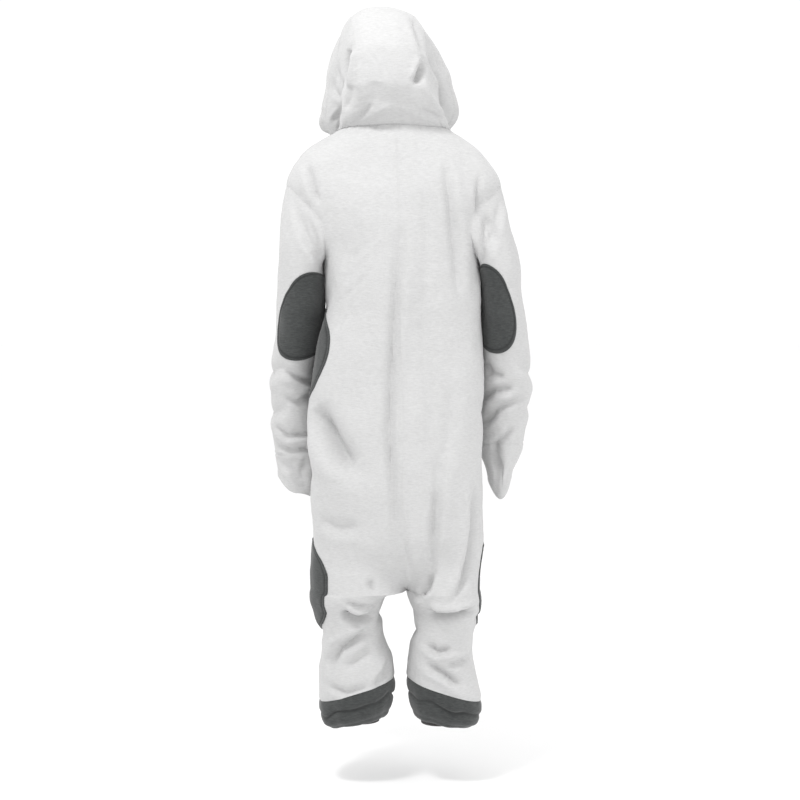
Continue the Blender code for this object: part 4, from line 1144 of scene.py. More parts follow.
@dataclass(frozen=True)
class StitchTree:
    """Geometry Nodes that lay one small stitch after another along lines of sewing."""

    name: str
    finish: SewingThread
    pitch: float = 0.0036
    length: float = 0.0027
    width: float = 0.0008

    def tree(self) -> bpy.types.NodeTree:
        """Build the node tree, with its sizes as inputs."""
        tree = bpy.data.node_groups.new(self.name, "GeometryNodeTree")
        tree.interface.new_socket("Geometry", in_out="INPUT", socket_type="NodeSocketGeometry")
        for label, value in (("Pitch", self.pitch), ("Length", self.length), ("Width", self.width)):
            tree.interface.new_socket(label, in_out="INPUT", socket_type="NodeSocketFloat"
                                      ).default_value = value
        tree.interface.new_socket("Geometry", in_out="OUTPUT", socket_type="NodeSocketGeometry")

        def add(kind: str, **settings: Any) -> bpy.types.Node:
            """One node with its settings."""
            made = tree.nodes.new(kind)
            for label, value in settings.items():
                setattr(made, label, value)
            return made

        start, end = add("NodeGroupInput"), add("NodeGroupOutput")
        curve = add("GeometryNodeMeshToCurve")
        even = add("GeometryNodeResampleCurve", mode="LENGTH")
        bead = add("GeometryNodeMeshUVSphere")
        bead.inputs["Segments"].default_value = 6
        bead.inputs["Rings"].default_value = 4
        bead.inputs["Radius"].default_value = 0.5
        size = add("ShaderNodeCombineXYZ")
        shaped = add("GeometryNodeTransform")
        way = add("GeometryNodeInputTangent")
        up = add("GeometryNodeInputNamedAttribute", data_type="FLOAT_VECTOR")
        up.inputs["Name"].default_value = "cloth_facing"
        turn = add("FunctionNodeAlignRotationToVector", axis="X")
        lean = add("FunctionNodeAlignRotationToVector", axis="Z", pivot_axis="X")
        lay = add("GeometryNodeInstanceOnPoints")
        real = add("GeometryNodeRealizeInstances")
        dress = add("GeometryNodeSetMaterial")
        dress.inputs["Material"].default_value = self.finish.material()
        for source, output, target, socket in (
            (start, "Geometry", curve, "Mesh"),
            (curve, "Curve", even, "Curve"),
            (start, "Pitch", even, "Length"),
            (start, "Length", size, "X"),
            (start, "Width", size, "Y"),
            (start, "Width", size, "Z"),
            (bead, "Mesh", shaped, "Geometry"),
            (size, "Vector", shaped, "Scale"),
            (way, "Tangent", turn, "Vector"),
            (turn, "Rotation", lean, "Rotation"),
            (up, "Attribute", lean, "Vector"),
            (even, "Curve", lay, "Points"),
            (shaped, "Geometry", lay, "Instance"),
            (lean, "Rotation", lay, "Rotation"),
            (lay, "Instances", real, "Geometry"),
            (real, "Geometry", dress, "Geometry"),
            (dress, "Geometry", end, "Geometry"),
        ):
            tree.links.new(source.outputs[output], target.inputs[socket])
        return tree

    def sew(self, name: str, lines: Sequence[StitchLine], rise: float = 0.00025) -> bpy.types.Object:
        """Sew along some lines.

        Args:
            name: The piece's name.
            lines: The lines of sewing.
            rise: How far the thread's middle lies above the cloth.

        Returns:
            One plain mesh of stitches.
        """
        points, edges, ways, count = [], [], [], 0
        for line in lines:
            number = len(line.points)
            points.append(line.points + line.normals * rise)
            ways.append(line.normals)
            edges += [(count + k, count + k + 1) for k in range(number - 1)]
            if line.closed:
                edges.append((count + number - 1, count))
            count += number
        path = bpy.data.meshes.new(name + "_path")
        path.from_pydata(np.concatenate(points).tolist(), edges, [])
        layer = path.attributes.new("cloth_facing", "FLOAT_VECTOR", "POINT")
        layer.data.foreach_set("vector", np.concatenate(ways).astype(np.float32).ravel())
        guide = bpy.data.objects.new(name + "_path", path)
        bpy.context.scene.collection.objects.link(guide)
        nodes = guide.modifiers.new("stitches", "NODES")
        nodes.node_group = bpy.data.node_groups.get(self.name) or self.tree()
        sizes = {"Pitch": self.pitch, "Length": self.length, "Width": self.width}
        for item in nodes.node_group.interface.items_tree:
            if item.in_out == "INPUT" and item.name in sizes:
                nodes[item.identifier] = sizes[item.name]
        graph = bpy.context.evaluated_depsgraph_get()
        mesh = bpy.data.meshes.new_from_object(guide.evaluated_get(graph), depsgraph=graph)
        bpy.data.objects.remove(guide, do_unlink=True)
        return finish_mesh(name, mesh, self.finish.material())


WHITE_STITCHES = StitchTree("white_stitches", WHITE_THREAD)
DARK_STITCHES = StitchTree("dark_stitches", DARK_THREAD)


@dataclass
class Wardrobe:
    """Puts finished pieces on the garment's body and says what each stands for."""

    body: str = "root"
    made: list[str] = field(default_factory=list)

    def wear(self, piece: bpy.types.Object, slot: str, *nodes: str) -> bpy.types.Object:
        """Fix a piece to the body.

        Args:
            piece: The piece.
            slot: The material slot that it takes its finish from; not used.
            nodes: The solids that it stands for.

        Returns:
            The piece.
        """
        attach(piece, self.body)
        if nodes:
            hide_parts(*nodes)
        self.made.append(piece.name)
        log.info("%s: %d points, stands for %s", piece.name, len(piece.data.vertices),
                 ", ".join(nodes) or "no solid")
        return piece


class Cut(NamedTuple):
    """The flat cloth that a piece was cut from: its width, length and area."""

    width: float
    length: float
    area: float


# Forms of the cloth


def true_normals(grid: Array, rough: Array, wrapped: bool = False) -> Array:
    """Normals of a finished grid from its own rows and columns, on the side of the rough ones."""
    if wrapped:
        over = np.roll(grid, -1, axis=1) - np.roll(grid, 1, axis=1)
    else:
        over = np.gradient(grid, axis=1)
    found = unit(np.cross(over, np.gradient(grid, axis=0)))
    return found * np.sign((found * rough).sum(axis=-1, keepdims=True) + 1e-9)


def round_line(line: Array, degrees: Array) -> Array:
    """Read a closed line of points at any turn."""
    place = degrees / 360.0 * len(line)
    low = np.floor(place).astype(int)
    share = (place - low)[..., None]
    return line[low % len(line)] * (1 - share) + line[(low + 1) % len(line)] * share


def inset_line(cloth: Cloth, edge: Edge, inset: float, closed: bool) -> StitchLine:
    """A line of sewing that keeps its distance from an edge of a piece.

    Args:
        cloth: The piece.
        edge: Its top or foot.
        inset: The distance from the edge.
        closed: True for a tube.

    Returns:
        The line, on the cloth.
    """
    distance, _ = edge_measures(cloth.grid, edge)
    rows = np.arange(cloth.grid.shape[0], dtype=float)
    order = slice(None) if edge is Edge.TOP else slice(None, None, -1)
    columns = np.arange(cloth.grid.shape[1])
    found = np.array([np.interp(inset, distance[order, c], rows[order]) for c in columns])
    points, normals = cloth.at(found, columns)
    return StitchLine(points, normals, closed)


class BodyForm:
    """The trunk and legs, by the place across each half panel and the drop below the origin.

    Across is 0 at the centre seam or the inseam and 1 at the side seam or the armhole.
    """

    blend_top = -0.860
    crotch = -0.985
    leg_foot = -1.203
    armhole_top = -0.112
    armhole_foot = -0.270
    armhole_turn = 38.0
    armhole_steps = 40
    neck_steps = 30
    columns = 72

    def __init__(self, unevenness: Unevenness) -> None:
        """Set up the size tables and the rows.

        Args:
            unevenness: The small lumps of the worn cloth.
        """
        self.unevenness = unevenness
        self.trunk = SizeTable(TRUNK, "height")
        self.legs = {side: SizeTable(LEGS[side], "height") for side in Side}
        self.middle = (self.armhole_top + self.armhole_foot) / 2
        self.reach = (self.armhole_top - self.armhole_foot) / 2
        self.drops = self._row_drops()
        self.panels: dict[tuple[Side, Facing], Cloth] = {}

    def _row_drops(self) -> Array:
        """Rows close enough for the folds, and closer at the neck, the armhole's ends and the crotch."""
        top = TRUNK[0].height
        neck = top + (self.armhole_top - top) * np.linspace(0, 1, self.neck_steps, endpoint=False) ** 1.4
        armhole = self.middle + self.reach * np.cos(np.linspace(0, np.pi, self.armhole_steps + 1))
        trunk = even_steps(self.armhole_foot, self.crotch + 0.025, STEP)[1:]
        closing = self.crotch + 0.025 * (1 - np.sin(np.linspace(0, np.pi / 2, 9)[1:]))
        opening = self.crotch - 0.020 * np.linspace(0, 1, 10)[1:] ** 1.5
        legs = even_steps(self.crotch - 0.020, self.leg_foot, 0.0042)[1:]
        return -np.concatenate([neck, armhole, trunk, closing, opening, legs])

    def armhole_edge(self, height: Array) -> Array:
        """How far round from the centre, in degrees, the trunk reaches before the armhole."""
        share = np.clip(1.0 - ((height - self.middle) / self.reach) ** 2, 0.0, 1.0)
        return 90.0 - self.armhole_turn * np.sqrt(share)

    def trunk_points(self, side: Side, facing: Facing, angle: Array, height: Array) -> Array:
        """Points of a trunk ring, by the angle from the centre in radians."""
        half = self.trunk.at("left_half" if side is Side.LEFT else "right_half", height)
        depth = self.trunk.at("back_y" if facing is Facing.BACK else "front_y", height)
        lift = self.trunk.at("back_lift" if facing is Facing.BACK else "front_lift", height)
        side_y, square = self.trunk.at("side_y", height), self.trunk.at("square", height)
        sine, cosine = rounded(np.sin(angle), square), rounded(np.cos(angle), square)
        x = self.trunk.at("centre", height) + side * half * sine
        return stack(x, side_y + (depth - side_y) * cosine, height + lift * cosine * np.abs(cosine))

    def leg_points(self, side: Side, facing: Facing, angle: Array, height: Array) -> Array:
        """Points of a leg ring, by the angle from the leg's own back or front in radians."""
        table = self.legs[side]
        inner, outer = table.at("inner", height), table.at("outer", height)
        depth = table.at("back_y" if facing is Facing.BACK else "front_y", height)
        square = table.at("square", height)
        sine, cosine = rounded(np.sin(angle), square), rounded(np.cos(angle), square)
        x = (inner + outer) / 2 + (outer - inner) / 2 * sine
        return stack(x, depth * cosine, height - table.at("tilt", height) * sine)

    def plain(self, side: Side, facing: Facing, across: Array, drop: Array) -> Array:
        """The body's outer surface without creases."""
        height = -drop
        reached = np.clip((self.blend_top - height) / (self.blend_top - self.crotch), 0.0, 1.0)
        rounding = 1.0 - np.sqrt(1.0 - reached ** 2)
        near_seam = (1.0 - np.clip(across, 0.0, 1.0)) ** 4
        closed = (reached ** 2 * (3 - 2 * reached) * (1 - near_seam) + rounding * near_seam)[..., None]
        turn = across * 90.0 - (90.0 - self.armhole_edge(height)) * np.clip(across, 0.0, 1.0) ** 2
        trunk = self.trunk_points(side, facing, np.radians(turn), np.maximum(height, self.crotch))
        leg = self.leg_points(side, facing, np.radians(180.0 * across - 90.0),
                              np.minimum(height, self.crotch))
        leg[..., 2] += np.maximum(height - self.crotch, 0.0)
        return trunk * (1.0 - closed) + leg * closed

    def own_normals(self, side: Side, facing: Facing, across: Array, drop: Array) -> Array:
        """Outward normals of one panel alone."""
        return surface_normals(lambda u, v: self.plain(side, facing, u, v), across, drop,
                               (0.02, 0.0015), (-TRUNK[0].height, -self.leg_foot), side * facing)

    def normals(self, side: Side, facing: Facing, across: Array, drop: Array) -> Array:
        """Outward normals, shared by the panels that meet at a seam."""
        own = self.own_normals(side, facing, across, drop)
        turned = self.own_normals(side, Facing(-facing), across, drop)
        beyond = self.own_normals(Side(-side), facing, across, drop)
        side_seam = (across > 0.999) & (self.armhole_edge(-drop) > 89.9)
        inseam = (across < 0.001) & (drop >= -self.crotch)
        centre_seam = (across < 0.001) & (drop < -self.crotch)
        shared = np.where((side_seam | inseam)[..., None], own + turned, own * 2.0)
        return unit(np.where(centre_seam[..., None], own + beyond, shared))

    def panel(self, side: Side, facing: Facing, seams: Sequence[Seam]) -> Cloth:
        """Work out one back or front: trunk and leg in one.

        Args:
            side: Left or right.
            facing: Back or front.
            seams: How its edges are drawn in.

        Returns:
            The panel's outer points.
        """
        across, drop = np.meshgrid(np.linspace(0.0, 1.0, self.columns + 1), self.drops)
        points = self.plain(side, facing, across, drop)
        normals = self.normals(side, facing, across, drop)
        push = crease_push(points, normals, BODY_CREASES) + self.unevenness.push(points)
        grid, near = press_seams(points + normals * push[..., None], normals, seams)
        made = Cloth(grid, true_normals(grid, normals), near)
        self.panels[side, facing] = made
        return made

    def armhole_line(self, side: Side) -> Array:
        """The finished armhole's edge: from its top round the back and up the front."""
        first = self.neck_steps
        back = self.panels[side, Facing.BACK].grid[first:first + self.armhole_steps + 1, -1]
        front = self.panels[side, Facing.FRONT].grid[first:first + self.armhole_steps + 1, -1]
        return np.concatenate([back, front[-2:0:-1]])

    def neck_line(self, degrees: Array) -> Array:
        """The finished neck edge at a turn from the centre back, plus to the left."""
        turns = np.linspace(0.0, 90.0, self.columns + 1)
        found = np.zeros(degrees.shape + (3,))
        for side in Side:
            back = self.panels[side, Facing.BACK].grid[0]
            front = self.panels[side, Facing.FRONT].grid[0]
            angle = np.concatenate([turns, 180.0 - turns[-2::-1]])
            line = np.concatenate([back, front[-2::-1]])
            here = (degrees * side >= 0)
            read = np.stack([np.interp(np.abs(degrees), angle, line[:, k]) for k in range(3)], axis=-1)
            found = np.where(here[..., None], read, found)
        return found

    def leg_line(self, side: Side) -> Array:
        """The finished lower edge of a leg, from the inseam round the back to the side and front."""
        back = self.panels[side, Facing.BACK].grid[-1]
        front = self.panels[side, Facing.FRONT].grid[-1]
        return np.concatenate([back[:-1], front[:0:-1]])

    def side_cloth(self, side: Side) -> Cloth:
        """Both panels of one side as one grid, from the centre back round to the centre front."""
        back, front = self.panels[side, Facing.BACK], self.panels[side, Facing.FRONT]
        return Cloth(*(np.concatenate([getattr(back, name), getattr(front, name)[:, -2::-1]], axis=1)
                       for name in ("grid", "normals", "shade")))

    def front_cloth(self) -> Cloth:
        """Both front panels as one grid, from the left side to the right."""
        left, right = self.panels[Side.LEFT, Facing.FRONT], self.panels[Side.RIGHT, Facing.FRONT]
        return Cloth(*(np.concatenate([getattr(left, name)[:, ::-1], getattr(right, name)[:, 1:]], axis=1)
                       for name in ("grid", "normals", "shade")))


class SleeveForm:
    """A sleeve from its armhole to the wrist seam, by the turn and the drop below the cap's end.

    The turn is 0 degrees at the outer side and 90 at the back.
    """

    cap_length = 0.140
    cap_plain = 0.040
    cap_swing = (0.25, 0.60)
    cap_pull = 0.16
    cap_rows = 42

    def __init__(self, side: Side, armhole: Array, unevenness: Unevenness) -> None:
        """Set up one sleeve.

        Args:
            side: Left or right.
            armhole: The finished armhole's edge.
            unevenness: The small lumps of the worn cloth.
        """
        self.side, self.armhole, self.unevenness = side, armhole, unevenness
        self.rings = SizeTable(SLEEVES[side], "height")
        self.cap_foot = SLEEVES[side][0].height
        self.length = self.cap_foot - SLEEVES[side][-1].height
        self.drops = np.concatenate([np.linspace(-self.cap_length, 0.0, self.cap_rows, endpoint=False),
                                     even_steps(0.0, self.length, STEP)])

    def section(self, angle: Array, height: Array) -> Array:
        """A ring below the cap."""
        inner, outer = self.rings.at("inner", height), self.rings.at("outer", height)
        back, front = self.rings.at("back_y", height), self.rings.at("front_y", height)
        x = (inner + outer) / 2 + (outer - inner) / 2 * np.cos(angle)
        return stack(self.side * x, (back + front) / 2 + (back - front) / 2 * np.sin(angle), height)

    def plain(self, degrees: Array, drop: Array) -> Array:
        """The sleeve's outer surface without creases."""
        angle = np.radians(degrees)
        below = self.section(angle, self.cap_foot - np.maximum(drop, 0.0))
        share = np.clip(1.0 + drop / self.cap_length, 0.0, 1.0)[..., None]
        start = round_line(self.armhole, degrees)
        end = self.section(angle, np.full_like(angle, self.cap_foot))
        swing = self.cap_swing[0] + self.cap_swing[1] * np.sin(angle) ** 2
        leave = unit(stack(self.side * swing, 0.0 * swing, -1.0 + 0.0 * swing)) * self.cap_pull
        arrive = unit(stack(0.0 * swing, -0.25 + 0.0 * swing, -1.0 + 0.0 * swing)) * self.cap_pull
        span = np.linalg.norm(end - start, axis=-1, keepdims=True) / self.cap_pull
        cap = (start * (1 + 2 * share) * (1 - share) ** 2 + end * share ** 2 * (3 - 2 * share)
               + leave * span * share * (1 - share) ** 2 - arrive * span * share ** 2 * (1 - share))
        return np.where((drop < 0.0)[..., None], cap, below)

    def cloth(self, seams: Sequence[Seam]) -> Cloth:
        """Work out the sleeve.

        Args:
            seams: How its edges are drawn in.

        Returns:
            Its outer points, a tube.
        """
        count = len(self.armhole)
        degrees, drop = np.meshgrid(np.arange(count) * 360.0 / count, self.drops)
        points = self.plain(degrees, drop)
        normals = surface_normals(lambda u, v: self.plain(u * 100.0, v), degrees / 100.0, drop,
                                  (0.03, 0.003), (-self.cap_length, self.length), -self.side)
        ease = soft_step(0.0, self.cap_plain, drop + self.cap_length)
        push = (crease_push(points, normals, SLEEVE_CREASES[self.side])
                + self.unevenness.push(points)) * ease
        grid, near = press_seams(points + normals * push[..., None], normals, seams)
        grid = join_edge(grid, Edge.TOP, self.armhole, 0.006)
        return Cloth(grid, true_normals(grid, normals, True), near)


class HandCoverForm:
    """A hand cover from the wrist seam to its slanting open end."""

    rows = 26

    def __init__(self, side: Side, wrist: Cloth, unevenness: Unevenness) -> None:
        """Set up one hand cover.

        Args:
            side: Left or right.
            wrist: The finished sleeve that it is sewn to.
            unevenness: The small lumps of the worn cloth.
        """
        self.side, self.wrist, self.unevenness = side, wrist.grid[-1], unevenness
        self.end_size = COVER_ENDS[side]

    def cloth(self, seams: Sequence[Seam]) -> Cloth:
        """Work out the cover.

        Args:
            seams: How its edges are drawn in.

        Returns:
            Its outer points, a tube.
        """
        count, size = len(self.wrist), self.end_size
        angle, share = np.meshgrid(np.arange(count) * 2 * np.pi / count,
                                   np.linspace(0.0, 1.0, self.rows + 1))
        sine, cosine = np.sin(angle), np.cos(angle)
        level = (np.where(cosine > 0, size.outer_foot, size.inner_foot) * cosine ** 2
                 + np.where(sine > 0, size.back_foot, size.front_foot) * sine ** 2)
        end = stack(self.side * ((size.inner + size.outer) / 2 + (size.outer - size.inner) / 2 * cosine),
                    (size.back_y + size.front_y) / 2 + (size.back_y - size.front_y) / 2 * sine, level)
        across = (share * share * (3 - 2 * share))[..., None]
        wrist = np.broadcast_to(self.wrist, end.shape)
        points = wrist + (end - wrist) * share[..., None]
        points[..., :1] = wrist[..., :1] + (end - wrist)[..., :1] * across
        outward = points - points.mean(axis=1, keepdims=True)
        normals = true_normals(points, outward, True)
        push = (crease_push(points, normals, COVER_CREASES[self.side])
                + self.unevenness.push(points)) * soft_step(0.0, 0.25, share)
        grid, near = press_seams(points + normals * push[..., None], normals, seams)
        grid = join_edge(grid, Edge.TOP, self.wrist, 0.006)
        return Cloth(grid, true_normals(grid, normals, True), near)


class HoodForm:
    """The hood, by the turn about it and the place from the neck seam to the face rim.

    The turn is 0 degrees at the centre back and plus to the left.
    """

    flare_turns = (140.0, 112.0)
    flare_spreads = (34.0, 27.0)
    strip_edge = 33.75
    throat = 176.0
    rows = 150

    def __init__(self, body: BodyForm, unevenness: Unevenness) -> None:
        """Set up the hood.

        Args:
            body: The finished body that it is sewn to.
            unevenness: The small lumps of the worn cloth.
        """
        self.body, self.unevenness = body, unevenness
        self.rings = SizeTable(HOOD, "place")

    def plain(self, degrees: Array, place: Array) -> Array:
        """The hood's outer surface without creases."""
        angle = np.radians(degrees)
        sizes = {name: self.rings.at(name, place) for name in HoodRing._fields[1:]}
        sine, cosine = rounded(np.sin(angle), sizes["square"]), rounded(np.cos(angle), sizes["square"])
        low = (1.0 - np.cos(angle)) / 2
        share = sizes["top_share"] + (1.0 - sizes["top_share"]) * low * low * (3 - 2 * low)
        half = np.where(angle > 0, sizes["left_half"], sizes["right_half"])
        seam = HOOD[0]
        lean = seam.lean + (sizes["lean"] - seam.lean) * (1.0 + np.cos(angle)) / 2
        seam_cosine = rounded(np.cos(angle), seam.square)
        level = np.full_like(angle, TRUNK[0].height)
        back = self.body.trunk_points(Side.LEFT, Facing.BACK, np.abs(angle), level)
        front = self.body.trunk_points(Side.LEFT, Facing.FRONT, np.pi - np.abs(angle), level)
        neck = np.where((np.abs(angle) <= np.pi / 2 + 1e-9)[..., None], back, front)
        at = []
        for axis, top, throat in ((1, "top_y", "throat_y"), (2, "top_z", "throat_z")):
            own = (sizes[top] + sizes[throat]) / 2 + (sizes[top] - sizes[throat]) / 2 * cosine
            first = ((getattr(seam, top) + getattr(seam, throat)) / 2
                     + (getattr(seam, top) - getattr(seam, throat)) / 2 * seam_cosine)
            at.append(own + (neck[..., axis] - first) * (1.0 - place))
        left, right = (np.exp(-((degrees * sign - turn) / spread) ** 2)
                       for sign, turn, spread in zip((1, -1), self.flare_turns, self.flare_spreads))
        flare = sizes["left_flare"] * left - sizes["right_flare"] * right
        return stack(lean + half * share * sine + flare, *at)

    def cloth(self, start: float, stop: float, seams: Sequence[Seam]) -> Cloth:
        """Work out one panel of the hood.

        Args:
            start: The turn at its first edge.
            stop: The turn at its other edge.
            seams: How its edges are drawn in.

        Returns:
            Its outer points.
        """
        degrees, place = np.meshgrid(even_steps(start, stop, 1.9), np.linspace(0.0, 1.0, self.rows + 1))
        points = self.plain(degrees, place)
        normals = surface_normals(lambda u, v: self.plain(u * 100.0, v), degrees / 100.0, place,
                                  (0.02, 0.008), (0.0, 1.0), -1)
        push = (crease_push(points, normals, HOOD_CREASES) * np.minimum(place * 8.0, 1.0)
                + self.unevenness.push(points))
        grid, near = press_seams(points + normals * push[..., None], normals, seams)
        grid = join_edge(grid, Edge.TOP, self.body.neck_line(degrees[0]), 0.012)
        return Cloth(grid, true_normals(grid, normals), near)


class CuffForm:
    """A leg cuff: it hangs from the leg, bulges over and is gathered in to the ankle band."""

    rows = 40
    gathers = 27
    crease_place = 2.35
    hem_place = 4.7

    def __init__(self, side: Side, leg: Array) -> None:
        """Set up one cuff.

        Args:
            side: Left or right.
            leg: The finished leg's lower edge.
        """
        self.side, self.leg, self.band = side, leg, BANDS[side]
        self.rings = SizeTable(CUFF, "place")

    def cloth(self) -> Cloth:
        """Work out the cuff's outer points, a tube."""
        count = len(self.leg)
        angle, place = np.meshgrid(np.arange(count) * 2 * np.pi / count,
                                   np.linspace(0.0, len(CUFF) - 1.0, self.rows + 1))
        ankle = stack(self.band.centre_x - self.side * self.band.half_x * np.cos(angle),
                      self.band.centre_y + self.band.half_y * np.sin(angle), self.band.top)
        leg = np.broadcast_to(self.leg, ankle.shape)
        inward, bulge = (self.rings.at(name, place)[..., None] for name in ("inward", "bulge"))
        outward = leg - leg.mean(axis=(0, 1), keepdims=True)
        outward[..., 2] = 0.0
        points = leg * (1.0 - inward) + ankle * inward + unit(outward) * bulge
        points[..., 2] -= self.rings.at("hang", place)
        rough = unit(outward) * np.clip(1.0 - inward * 1.4, -0.2, 1.0) - np.array([0.0, 0.0, 0.6]) * inward
        normals = true_normals(points, rough, True)
        wave = np.cos(self.gathers * angle + 1.6 * np.sin(3 * angle + self.side))
        wander = np.sin(5 * angle + 1.3 * self.side) + 0.7 * np.sin(8 * angle + 0.6)
        push = -0.0014 * soft_step(5.0, 6.6, place) * (0.5 + 0.5 * wave)
        push += 0.0010 * soft_step(0.2, 1.5, place) * soft_step(7.0, 5.0, place) * wander
        crease = self.crease_place + 0.22 * wander
        push -= 0.0062 * np.exp(-((place - crease) / 0.36) ** 2) * (0.75 + 0.25 * np.sin(3 * angle + 2))
        push -= 0.0011 * np.exp(-((place - self.hem_place) / 0.20) ** 2)
        grid = points + normals * push[..., None]
        # Painted shade: the charcoal darkens at the top seam and along the fold's crease.
        near = np.maximum(np.exp(-(place / 0.18) ** 2), np.exp(-((place - crease) / 0.30) ** 2))
        return Cloth(grid, true_normals(grid, rough, True), near)


class BandForm:
    """An ankle band: ribbed elastic that holds the cuff's lower edge."""

    ribs = 54
    rib_height = 0.0006
    rows = 8

    def __init__(self, size: BandSize) -> None:
        """Keep the band's size."""
        self.size = size

    def cloth(self) -> Cloth:
        """Work out the band's outer points, a tube."""
        size, count = self.size, self.ribs * 4
        angle, place = np.meshgrid(np.arange(count) * 2 * np.pi / count, np.linspace(0, 1, self.rows + 1))
        rib = self.rib_height * np.cos(self.ribs * angle) - 0.0006
        lip = -0.0008 * (2 * place - 1) ** 6
        x = size.centre_x + (size.half_x + rib + lip) * np.cos(angle)
        y = size.centre_y + (size.half_y + rib + lip) * np.sin(angle)
        grid = stack(x, y, size.top + (size.foot - size.top) * place)
        outward = stack(np.cos(angle), np.sin(angle), 0.0)
        return Cloth(grid, true_normals(grid, outward, True), np.zeros_like(angle))


# Laid pieces


class SpotPatch:
    """An oval patch that lies on the cloth, with its edge turned under and stitched down."""

    rings = 24
    turns = 128
    stitch_inset = 0.0050

    def __init__(self, oval: SpotOval, find: Callable[[Array, Array], tuple[Array, Array]]) -> None:
        """Set up one spot.

        Args:
            oval: Its outline in the plane where it is laid out.
            find: Points and normals of the cloth from the plane's two coordinates.
        """
        self.oval, self.find = oval, find

    def lay(self, ring: Array, turn: Array, rise: Array) -> tuple[Array, Array]:
        """Points on or above the cloth.

        Args:
            ring: From 0 at the middle to 1 at the outline.
            turn: The angle round the oval in radians.
            rise: How far above the cloth.

        Returns:
            The points, and the cloth's normals there.
        """
        slant = math.radians(self.oval.slant)
        a = ring * np.cos(turn) * self.oval.half_width
        b = ring * np.sin(turn) * self.oval.half_height
        along = self.oval.centre + a * math.cos(slant) - b * math.sin(slant)
        up = self.oval.height + a * math.sin(slant) + b * math.cos(slant)
        points, normals = self.find(along, up)
        return points + normals * rise[..., None], normals

    def mesh(self, name: str) -> bpy.types.Mesh:
        """Build the patch's outer skin, closed at the middle."""
        size = min(self.oval.half_width, self.oval.half_height)
        inset = np.concatenate([np.linspace(size * 0.97, 0.010, self.rings - 9),
                                np.array([0.0085, 0.0070, 0.0058, 0.0046, 0.0034, 0.0022, 0.0012,
                                          0.0005, 0.0])])
        turn, inset = np.meshgrid(np.arange(self.turns) * 2 * np.pi / self.turns, inset)
        ring = 1.0 - inset / size
        lift = LAID_GAP + SPOT_WALL * (0.55 + 0.45 * soft_step(0.0, 0.0016, inset))
        lift -= 0.0006 * np.exp(-((inset - self.stitch_inset) / 0.0016) ** 2)
        lift += 0.0004 * np.exp(-((inset - 0.0022) / 0.0016) ** 2)
        points, normals = self.lay(ring, turn, lift)
        middle, up = self.lay(np.zeros(1), np.zeros(1), np.full(1, LAID_GAP + SPOT_WALL))
        mesh = grid_mesh(name, points, normals, wrapped=True)
        count = len(mesh.vertices)
        # Painted shade along the stitched groove inside the spot's edge.
        shade = np.exp(-((inset - self.stitch_inset) / 0.0018) ** 2).ravel()
        made = bmesh.new()
        made.from_mesh(mesh)
        inner = list(made.verts)[:self.turns]
        hub = made.verts.new(middle[0])
        for first, second in zip(inner, inner[1:] + inner[:1]):
            face = made.faces.new((hub, first, second))
            face.normal_update()
            if face.normal.dot(Vector(up[0])) < 0:
                face.normal_flip()
        made.to_mesh(mesh)
        made.free()
        add_marks(mesh, "seam_shade", np.concatenate([shade, np.zeros(len(mesh.vertices) - count)]))
        return mesh

    def stitches(self) -> StitchLine:
        """The line of sewing inside the outline."""
        turn = np.linspace(0, 2 * np.pi, 160, endpoint=False)
        size = min(self.oval.half_width, self.oval.half_height)
        ring = np.full_like(turn, 1.0 - self.stitch_inset / size)
        points, normals = self.lay(ring, turn, np.full_like(turn, LAID_GAP + SPOT_WALL - 0.0005))
        return StitchLine(points, normals, True)


class SideFinder:
    """Finds the body's cloth from the depth and height that a side view shows."""

    def __init__(self, cloth: Cloth, drops: Array) -> None:
        """Keep both panels of one side and the drops of their rows."""
        self.cloth, self.drops = cloth, drops

    def __call__(self, depth: Array, height: Array) -> tuple[Array, Array]:
        """Points and normals at some depths and heights."""
        row = np.interp(-height, self.drops, np.arange(len(self.drops)))
        quarter = self.cloth.grid.shape[1] // 4
        columns = np.arange(quarter, 3 * quarter + 1)
        lines = self.cloth.grid[:, columns, 1]
        found = np.zeros(depth.shape)
        for place in np.ndindex(depth.shape):
            r = min(int(row[place]), len(self.drops) - 2)
            share = row[place] - r
            line = lines[r] * (1 - share) + lines[r + 1] * share
            found[place] = np.interp(-depth[place], -line, columns)
        return self.cloth.at(row, found)


class SleeveFinder:
    """Finds a sleeve's cloth from its unrolled plane: metres to the outer side, and of drop."""

    radius = 0.055

    def __init__(self, cloth: Cloth, drops: Array) -> None:
        """Keep the sleeve and the drops of its rows."""
        self.cloth, self.drops = cloth, drops

    def __call__(self, outward: Array, drop: Array) -> tuple[Array, Array]:
        """Points and normals at some places of the plane."""
        degrees = 90.0 - np.degrees(outward / self.radius)
        row = np.interp(drop, self.drops, np.arange(len(self.drops)))
        return self.cloth.at(row, degrees / 360.0 * self.cloth.grid.shape[1])


ELBOW_SPOTS = {
    Side.LEFT: SpotOval(-0.048, 0.048, 0.085, 0.125, -41.0),
    Side.RIGHT: SpotOval(-0.056, 0.021, 0.071, 0.128, -23.0),
}


